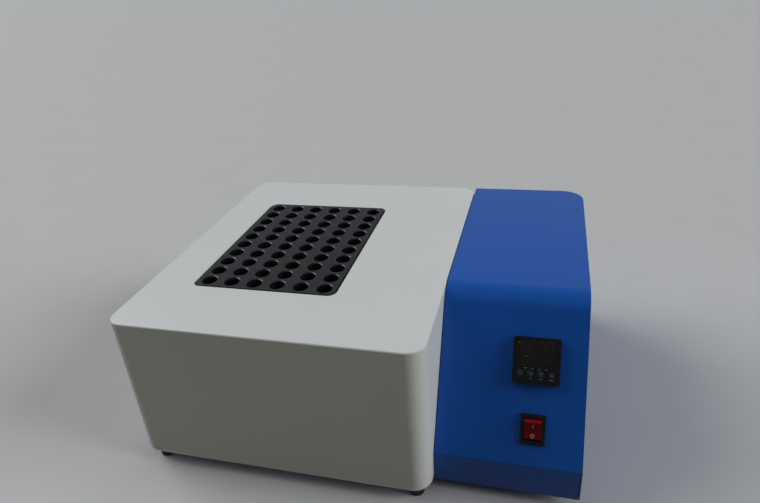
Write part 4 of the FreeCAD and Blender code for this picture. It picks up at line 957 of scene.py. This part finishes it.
class HEATER_OT_block(Operator):
    """Shape the black block with a rounded mouth on each of its wells"""

    bl_idname = "heater.block"
    bl_label = "Block"

    def execute(self, context):
        sizes = context.scene.heater_case
        low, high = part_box("heating_block")
        bm = bmesh.new()
        rounded_prism(bm, low, high, (sizes.block_corner, 8), (sizes.block_edge, 3))
        top_edges = open_face(bm, high.z)
        floor_edges = open_face(bm, low.z)
        self.wells(bm, low.z, high.z, sizes)
        outline = set(top_edges + floor_edges)
        ends = [edge for edge in bm.edges if edge.is_boundary and edge not in outline]
        for height, edges in ((high.z, top_edges), (low.z, floor_edges)):
            lay_between(bm, edges + at_level(ends, height))
        # The second finish, for the walls of the wells, is darkened with painted shade
        coats = ("black_block", "well_wall_painted_shade", "rubbed_edge")
        finish_piece("well_block", bm, coats, stands_for=["heating_block"])
        return {"FINISHED"}

    def wells(self, bm, floor, top, sizes):
        """One well, turned and then copied to the place of every bore."""
        bores = [row for row in frame["record"]["mounts"] if row["kind"] == "bore"]
        radius = bores[0]["dims"]["r_mm"] / 1000
        rim = sizes.well_rim
        middle = radius + rim
        mouth = [(2 * middle - x, z) for x, z in quarter((middle, top - rim), rim, start=90, steps=4)]
        verts = revolve(bm, mouth + [(radius, floor)], sizes.well_turns)
        faces = {face for vert in verts for face in vert.link_faces}
        # Faces below the mouth take the well wall, darkened with painted shade, and the mouth takes the rubbed
        # edge
        for face in faces:
            face.material_index = 1 if face.calc_center_median().z < top - rim else 2
        pattern = list(set(verts) | faces | {edge for vert in verts for edge in vert.link_edges})
        for bore in bores:
            copy = bmesh.ops.duplicate(bm, geom=pattern)["geom"]
            moved = [item for item in copy if isinstance(item, bmesh.types.BMVert)]
            bmesh.ops.translate(bm, verts=moved, vec=(bore["pos_m"][0], bore["pos_m"][1], 0))
        bmesh.ops.delete(bm, geom=verts, context="VERTS")


class HEATER_OT_feet(Operator):
    """Shape the four rubber feet, each with a recess for its screw"""

    bl_idname = "heater.feet"
    bl_label = "Feet"

    def execute(self, context):
        sizes = context.scene.heater_case
        for node in sorted(frame["nodes"]):
            if node.startswith(("foot_front", "foot_back")):
                low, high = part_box(node)
                bm = bmesh.new()
                revolve(bm, self.profile(low.z, high.z, (high.x - low.x) / 2, sizes), FOOT_TURNS)
                middle = Matrix.Translation(((low.x + high.x) / 2, (low.y + high.y) / 2, 0))
                finish_piece(f"rubber_{node}", bm, "black_rubber", stands_for=[node], place=middle)
        return {"FINISHED"}

    def profile(self, floor, top, radius, sizes):
        """A closed line from the bore over the top, down the outside and up into the recess."""
        curve = sizes.foot_round
        cut = sizes.foot_top_cut
        mouth = sizes.foot_mouth_cut
        ceiling = floor + sizes.foot_recess_depth
        outside = [(sizes.foot_bore, top), (radius - cut, top), (radius, top - cut)]
        lower = quarter((sizes.foot_tip - curve, floor + curve), curve, start=0, steps=5)
        recess = [(sizes.foot_recess + mouth, floor), (sizes.foot_recess, floor + mouth)]
        recess += [(sizes.foot_recess, ceiling), (sizes.foot_bore, ceiling)]
        return outside + lower + recess + outside[:1]


class HEATER_OT_control_case(Operator):
    """Smooth the blue control case: its cover, tray and the plate towards the white case"""

    bl_idname = "heater.control_case"
    bl_label = "Control case"

    def execute(self, context):
        refined_node("blue_cover", "control_cover", "blue_paint", edge=0.0004)
        refined_node("blue_tray", "control_base", "blue_paint", edge=0.0004)
        refined_node("side_plate", "control_side_plate", "plated_steel")
        return {"FINISHED"}


class HEATER_OT_controller(Operator):
    """Shape the temperature controller: bezel, window, unlit display and plain marks"""

    bl_idname = "heater.controller"
    bl_label = "Controller"

    def execute(self, context):
        sizes = context.scene.heater_panel
        place = controller_frame(sizes)
        face = sizes.bezel_proud
        seat = face - sizes.window_thickness
        mask = seat - sizes.display_gap
        refined_node("bezel", "controller_bezel", "black_plastic", edge=0.0002)
        bm = self.slab(sizes, 0, seat, face, (sizes.window_corner, 4))
        finish_piece("window", bm, "smoked_window", stands_for=["controller_window"], place=place)
        bm = self.slab(sizes, sizes.display_inset, sizes.display_floor, mask, (sizes.display_corner, 3))
        finish_piece("display_mask", bm, "display_black", stands_for=["controller_display"], place=place)
        bm = self.figures(mask, seat - sizes.figure_gap)
        finish_piece("unlit_digits", bm, "unlit_segment", place=place)
        bm = self.dashes(sizes, face)
        finish_piece("plain_marks", bm, "faint_print", place=place)
        return {"FINISHED"}

    def slab(self, sizes, inset, low, high, corner):
        """A flat block between two heights, as large as the window or smaller all round."""
        across = sizes.window_width / 2 - inset
        along = sizes.window_height / 2 - inset
        first = (-across, sizes.window_up - along, low)
        last = (across, sizes.window_up + along, high)
        bm = bmesh.new()
        rounded_prism(bm, first, last, corner, (sizes.window_edge, 2))
        return bm

    def figures(self, low, high):
        """Two rows of four figures, of which the upper one is larger."""
        # Place of each row's first figure across and up the panel, distance between figures, and height
        rows = ((-0.0112, 0.0145, 0.0078, 0.0115), (-0.0065, 0.0010, 0.0062, 0.0088))
        bm = bmesh.new()
        for across, along, pitch, size in rows:
            for column in range(4):
                figure(bm, (across + pitch * column, along), size, low, high)
        return bm

    def dashes(self, sizes, face):
        """Plain dashes: one beside each row of figures, four above the keys and three below them."""
        reach = 0.0013
        half_width = 0.00035
        corner = 0.0003
        proud = 0.00006
        left = -0.0109
        pitch = 0.00705
        above = 0.0050 - sizes.key_down
        below = -0.0052 - sizes.key_down
        # Place across and up the panel, and half the length
        rows = [(-0.0187, 0.0178, reach), (left, 0.0043, reach)]
        rows += [(left + pitch * column, above, reach) for column in range(4)]
        rows += [((column - 0.5) * sizes.key_pitch, below, 0.0011 + 0.0006 * column) for column in range(3)]
        bm = bmesh.new()
        for x, y, half_length in rows:
            low = (x - half_length, y - half_width, face - PRINT_SUNK)
            high = (x + half_length, y + half_width, face + proud)
            rounded_prism(bm, low, high, (corner, 3), (proud / 2, 1))
        return bm


class HEATER_OT_keys(Operator):
    """Shape the four keys and the symbols on them"""

    bl_idname = "heater.keys"
    bl_label = "Keys"

    def execute(self, context):
        sizes = context.scene.heater_panel
        place = controller_frame(sizes)
        top = sizes.bezel_proud + sizes.key_proud
        # Symbol of each key, and how far it is turned
        keys = {
            "set": (self.ring, 0),
            "left": (self.arrow, 90),
            "down": (self.arrow, 180),
            "up": (self.arrow, 0),
        }
        for column, (name, (symbol, turn)) in enumerate(keys.items()):
            across = (column - 1.5) * sizes.key_pitch
            middle = place @ Matrix.Translation((across, -sizes.key_down, 0))
            body = f"{name}_button"
            bm = self.cap(sizes, top)
            finish_piece(f"{name}_key_cap", bm, "key_plastic", body, [f"{name}_key"], place=middle)
            bm = bmesh.new()
            symbol(bm, top - PRINT_SUNK, top + PRINT_PROUD)
            turned = middle @ Matrix.Rotation(math.radians(turn), 4, "Z")
            finish_piece(f"{name}_symbol", bm, "symbol_print", body, place=turned)
        return {"FINISHED"}

    def cap(self, sizes, top):
        """A round key with a rounded edge, and the stem under it."""
        edge = sizes.key_edge
        bm = bmesh.new()
        profile = [(0, top)] + quarter((sizes.key_radius - edge, top - edge), edge, start=90, steps=4)
        profile += [(sizes.key_radius, sizes.key_seat), (sizes.key_stem, sizes.key_seat)]
        profile += [(sizes.key_stem, sizes.key_stem_end), (0, sizes.key_stem_end)]
        revolve(bm, profile, KEY_TURNS)
        return bm

    def ring(self, bm, low, high):
        flat_ring(bm, inner=0.0014, outer=0.0021, low=low, high=high)

    def arrow(self, bm, low, high):
        half_width = 0.0018
        foot = -0.0015
        tip = 0.0020
        plate(bm, [(-half_width, foot), (half_width, foot), (0, tip)], low, high)


class HEATER_OT_switch(Operator):
    """Shape the rocker switch: its frame, the red rocker and the marks on it"""

    bl_idname = "heater.switch"
    bl_label = "Switch"

    def execute(self, context):
        sizes = context.scene.heater_panel
        place = pivot_frame(sizes)
        rise = sizes.pivot_depth + sizes.rocker_rise
        dip = sizes.pivot_depth + sizes.rocker_dip
        refined_node("switch_frame", "switch_body", "black_plastic", edge=0.0003)
        for holder in frame["nodes"]["switch_pin"].material_slots:
            holder.material = finishes["blackened_steel"]
        bm = self.rocker(sizes, rise, dip)
        # The second finish is the lighter red of the painted glow on the rocker's slanting ends
        coats = ("red_plastic", "painted_lit_red")
        finish_piece("red_rocker", bm, coats, "rocker", ["switch_rocker"], place=place)
        bm = self.marks(sizes, rise, dip)
        finish_piece("rocker_marks", bm, "mark_print", "rocker", place=place)
        return {"FINISHED"}

    def rocker(self, sizes, rise, dip):
        """The rocker about its pivot, with its two slanting ends set apart for the lighter red of their painted
        glow.
        """
        shoulder = sizes.pivot_depth - sizes.rocker_shoulder_drop
        keel = sizes.pivot_depth - sizes.rocker_drop
        half = [(sizes.rocker_keel, keel), (sizes.rocker_shoulder, shoulder), (sizes.rocker_half, rise)]
        profile = [(-x, y) for x, y in reversed(half)] + half + [(0, dip)]
        bm = bmesh.new()
        plate(bm, profile, -sizes.rocker_width / 2, sizes.rocker_width / 2)
        sharp = [edge for edge in bm.edges if edge.calc_face_angle(0) > math.radians(20)]
        soften(bm, sharp, sizes.rocker_edge, 3)
        bm.normal_update()
        # Faces of the slanting ends take the painted glow
        for face in bm.faces:
            slanting = abs(face.normal.x) > 0.8 and face.calc_center_median().y > shoulder
            face.material_index = int(slanting)
        upright = Matrix.Rotation(math.pi / 2, 4, "Z") @ Matrix.Rotation(math.pi / 2, 4, "X")
        bmesh.ops.transform(bm, matrix=upright, verts=bm.verts)
        return bm

    def marks(self, sizes, rise, dip):
        """A bar on the upper half of the rocker's face and a ring on the lower half."""
        slope = math.atan2(rise - dip, sizes.rocker_half)
        bm = bmesh.new()
        for side, along in ((1, sizes.bar_place), (-1, sizes.ring_place)):
            before = set(bm.verts)
            if side > 0:
                plate(bm, oblong(0, 0, sizes.bar_width, sizes.bar_length), -PRINT_SUNK, PRINT_PROUD)
            else:
                flat_ring(bm, sizes.ring_inner, sizes.ring_outer, -PRINT_SUNK, PRINT_PROUD)
            middle = (0, side * along * sizes.rocker_half, dip + along * (rise - dip))
            face = Matrix.Translation(middle) @ Matrix.Rotation(side * slope, 4, "X")
            bmesh.ops.transform(bm, matrix=face, verts=added(bm, before))
        return bm


class HEATER_OT_inlet(Operator):
    """Shape the mains inlet at the back: flange, socket, pins and fuse drawer"""

    bl_idname = "heater.inlet"
    bl_label = "Mains inlet"

    def execute(self, context):
        sizes = context.scene.heater_back
        low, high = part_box("power_inlet")
        reach = (high - low) / 2
        flange = sizes.flange
        bm = bmesh.new()
        corners = ((-reach.x, -reach.z, -flange), (reach.x, reach.z, 0))
        rounded_prism(bm, *corners, (sizes.flange_corner, 5), (sizes.flange_edge, 2))
        face_edges = open_face(bm, 0)
        back_edges = open_face(bm, -flange)
        for outline, depth in self.pockets(sizes):
            edges = closed_line(bm, outline, 0)
            face_edges += edges
            bmesh.ops.edgeloop_fill(bm, edges=raise_loop(bm, edges, -depth))
        body = closed_line(bm, oblong(0, 0, sizes.body_width, sizes.body_width), -flange)
        back_edges += body
        bmesh.ops.edgeloop_fill(bm, edges=raise_loop(bm, body, flange - 2 * reach.y))
        lay_between(bm, face_edges)
        lay_between(bm, back_edges)
        middle = Vector(((low.x + high.x) / 2, high.y, (low.z + high.z) / 2))
        place = facing_frame(middle, (0, 1, 0))
        finish_piece("inlet", bm, "black_plastic", stands_for=["power_inlet"], place=place)
        refined_node("inlet_contacts", "inlet_pins", "contact_brass", edge=0.0004)
        refined_node("drawer", "fuse_drawer", "black_plastic", "drawer", edge=0.0004)
        return {"FINISHED"}

    def pockets(self, sizes):
        """The outlines and depths of the socket, the drawer's slot and the two screw holes."""
        across = sizes.socket_width / 2
        low = sizes.socket_up - sizes.socket_height / 2
        high = sizes.socket_up + sizes.socket_height / 2
        cut = sizes.socket_chamfer
        right = [(across, low), (across, high - cut), (across - cut, high)]
        yield right + [(-x, y) for x, y in reversed(right)], sizes.socket_depth
        yield oblong(0, -sizes.slot_down, sizes.slot_width, sizes.slot_height), sizes.slot_depth
        hole_depth = 0.9 * sizes.flange
        for side in (-1, 1):
            yield polygon(side * sizes.screw_reach, 0, sizes.screw_hole, HOLE_TURNS), hole_depth


class HEATER_OT_screws(Operator):
    """Shape the screws that show from outside, with domed heads and cross recesses"""

    bl_idname = "heater.screws"
    bl_label = "Screws"

    def execute(self, context):
        sizes = context.scene.heater_back
        backward = Vector((0, 1, 0))
        downward = Vector((0, 0, -1))
        kinds = {
            "cover_screws": (backward, sizes.small_head, sizes.small_shank),
            "inlet_screws": (backward, sizes.flush_head, sizes.small_shank),
            "base_screws": (downward, sizes.small_head, sizes.small_shank),
            "foot_screws": (downward, sizes.large_head, sizes.large_shank),
        }
        for node, (outward, head, shank) in kinds.items():
            bm = bmesh.new()
            for low, high in lumps(node):
                size = high - low
                reach = abs(size.dot(outward))
                tip = (low + high) / 2 + outward * reach / 2
                made = self.screw(bm, size.x / 2, head, min(shank, size.x / 2), reach)
                bmesh.ops.transform(bm, matrix=facing_frame(tip, outward), verts=made)
            finish_piece(f"cross_{node}", bm, "plated_steel", stands_for=[node])
        refined_node("base_plate", "housing_base", "plated_steel", edge=0.0002)
        return {"FINISHED"}

    def screw(self, bm, radius, head, shank, reach):
        """One screw that points down from its head, with the top of the head at nought."""
        before = set(bm.verts)
        dome = min(0.6 * head, 0.4 * radius)
        arm = 0.52 * radius
        half = 0.13 * radius
        depth = 0.55 * head
        profile = [(0, -reach), (shank, -reach), (shank, -head), (radius, -head)]
        profile += quarter((radius - dome, -dome), dome, start=90, steps=5)[::-1]
        made = revolve(bm, profile, SCREW_TURNS)
        rim = at_level({edge for vert in made for edge in vert.link_edges}, 0)
        corners = [(half, -arm), (half, -half), (arm, -half), (arm, half), (half, half), (half, arm)]
        cross = closed_line(bm, corners + [(-x, -y) for x, y in corners], 0)
        bmesh.ops.edgeloop_fill(bm, edges=raise_loop(bm, cross, -depth))
        lay_between(bm, rim + cross)
        return added(bm, before)


# Stage


class HEATER_OT_stage(Operator):
    """Lay the floor, and set the lamps, the surroundings and the camera"""

    bl_idname = "heater.stage"
    bl_label = "Stage"

    def execute(self, context):
        scene = context.scene
        stage = scene.heater_stage
        self.floor(scene, stage)
        right = self.lamp(scene, "right_lamp", stage.right_from, stage.right_spread, stage.right)
        right.visible_glossy = False
        self.lamp(scene, "left_lamp", stage.left_from, stage.left_spread, stage.left)
        self.surroundings(scene, stage)
        self.camera(scene, stage)
        scene.view_settings.view_transform = "Standard"
        return {"FINISHED"}

    def floor(self, scene, stage):
        bm = bmesh.new()
        bmesh.ops.create_circle(bm, cap_ends=True, radius=stage.floor_radius, segments=FLOOR_TURNS)
        bmesh.ops.translate(bm, verts=bm.verts, vec=(0, 0, -stage.floor_drop))
        mesh = bpy.data.meshes.new("floor")
        bm.to_mesh(mesh)
        bm.free()
        mesh.materials.append(finishes["floor_finish"])
        floor = bpy.data.objects.new("floor", mesh)
        scene.collection.objects.link(floor)

    def lamp(self, scene, name, towards, spread, strength):
        """Soft, even light from a direction."""
        data = bpy.data.lights.new(name, "SUN")
        data.angle = spread
        data.energy = strength
        lamp = bpy.data.objects.new(name, data)
        lamp.rotation_euler = Vector(towards).to_track_quat("Z", "Y").to_euler()
        scene.collection.objects.link(lamp)
        return lamp

    def surroundings(self, scene, stage):
        """Soft light from above, before a background that is pale behind the object and low down."""
        scene.world = bpy.data.worlds.new("surroundings")
        scene.world.use_nodes = True
        nodes = Nodes(scene.world.node_tree)
        sky = self.gradient(nodes, stage.sky_from, stage.skirt, stage.sky, start=0.1, end=1.0)
        wall = self.gradient(nodes, stage.behind_from, stage.before, stage.behind, start=0.1, end=0.75)
        haze = self.gradient(nodes, UP, stage.behind, 0, start=0.22, end=0.48)
        ground = nodes.node("ShaderNodeMath", {"operation": "MAXIMUM"}, {0: wall, 1: haze})
        strength = nodes.node("ShaderNodeMix", inputs={0: nodes.seen(), 2: sky, 3: ground})
        background = nodes.tree.nodes["Background"]
        nodes.feed(background.inputs["Color"], opaque(scene.heater_colours.air))
        nodes.feed(background.inputs["Strength"], strength)

    def gradient(self, nodes, towards, first, last, start, end):
        """A level that changes as the view turns towards a direction, between two cosines."""
        view = nodes.node("ShaderNodeTexCoord", output="Generated")
        facing = nodes.node(
            "ShaderNodeVectorMath", {"operation": "DOT_PRODUCT"}, {0: view, 1: towards}, output="Value"
        )
        return nodes.between(facing, start, end, first, last)

    def camera(self, scene, stage):
        data = bpy.data.cameras.new("camera")
        data.sensor_width = SENSOR_WIDTH
        data.lens = stage.focal * SENSOR_WIDTH
        data.clip_start = 0.01
        camera = bpy.data.objects.new("camera", data)
        scene.collection.objects.link(camera)
        ahead = math.cos(stage.tilt)
        forward = Vector(
            (math.sin(stage.heading) * ahead, math.cos(stage.heading) * ahead, -math.sin(stage.tilt))
        )
        right = forward.cross(Vector(UP)).normalized()
        axes = Matrix((right, right.cross(forward), -forward)).transposed()
        roll = Matrix.Rotation(-stage.roll, 4, "Z")
        camera.matrix_world = Matrix.Translation(stage.place) @ axes.to_4x4() @ roll
        scene.camera = camera


class HEATER_PT_tools(Panel):
    """The heater's pieces, in the order in which they are made"""

    bl_label = "Dry block heater"
    bl_idname = "HEATER_PT_tools"
    bl_space_type = "VIEW_3D"
    bl_region_type = "UI"
    bl_category = "Heater"

    def draw(self, context):
        for operator in OPERATORS:
            self.layout.operator(operator.bl_idname)


OPERATORS = (
    HEATER_OT_finishes,
    HEATER_OT_case,
    HEATER_OT_block,
    HEATER_OT_feet,
    HEATER_OT_control_case,
    HEATER_OT_controller,
    HEATER_OT_keys,
    HEATER_OT_switch,
    HEATER_OT_inlet,
    HEATER_OT_screws,
    HEATER_OT_stage,
)
GROUPS = {
    "heater_case": HeaterCaseSizes,
    "heater_panel": HeaterPanelSizes,
    "heater_back": HeaterBackSizes,
    "heater_colours": HeaterColours,
    "heater_stage": HeaterStage,
}
CLASSES = (*GROUPS.values(), *OPERATORS, HEATER_PT_tools)


def register():
    for made in CLASSES:
        bpy.utils.register_class(made)
    for name, group in GROUPS.items():
        setattr(bpy.types.Scene, name, PointerProperty(type=group))


def unregister():
    for name in GROUPS:
        delattr(bpy.types.Scene, name)
    for made in reversed(CLASSES):
        bpy.utils.unregister_class(made)


def main():
    register()
    for operator in OPERATORS:
        group, name = operator.bl_idname.split(".")
        getattr(getattr(bpy.ops, group), name)()


if __name__ == "__main__":
    main()
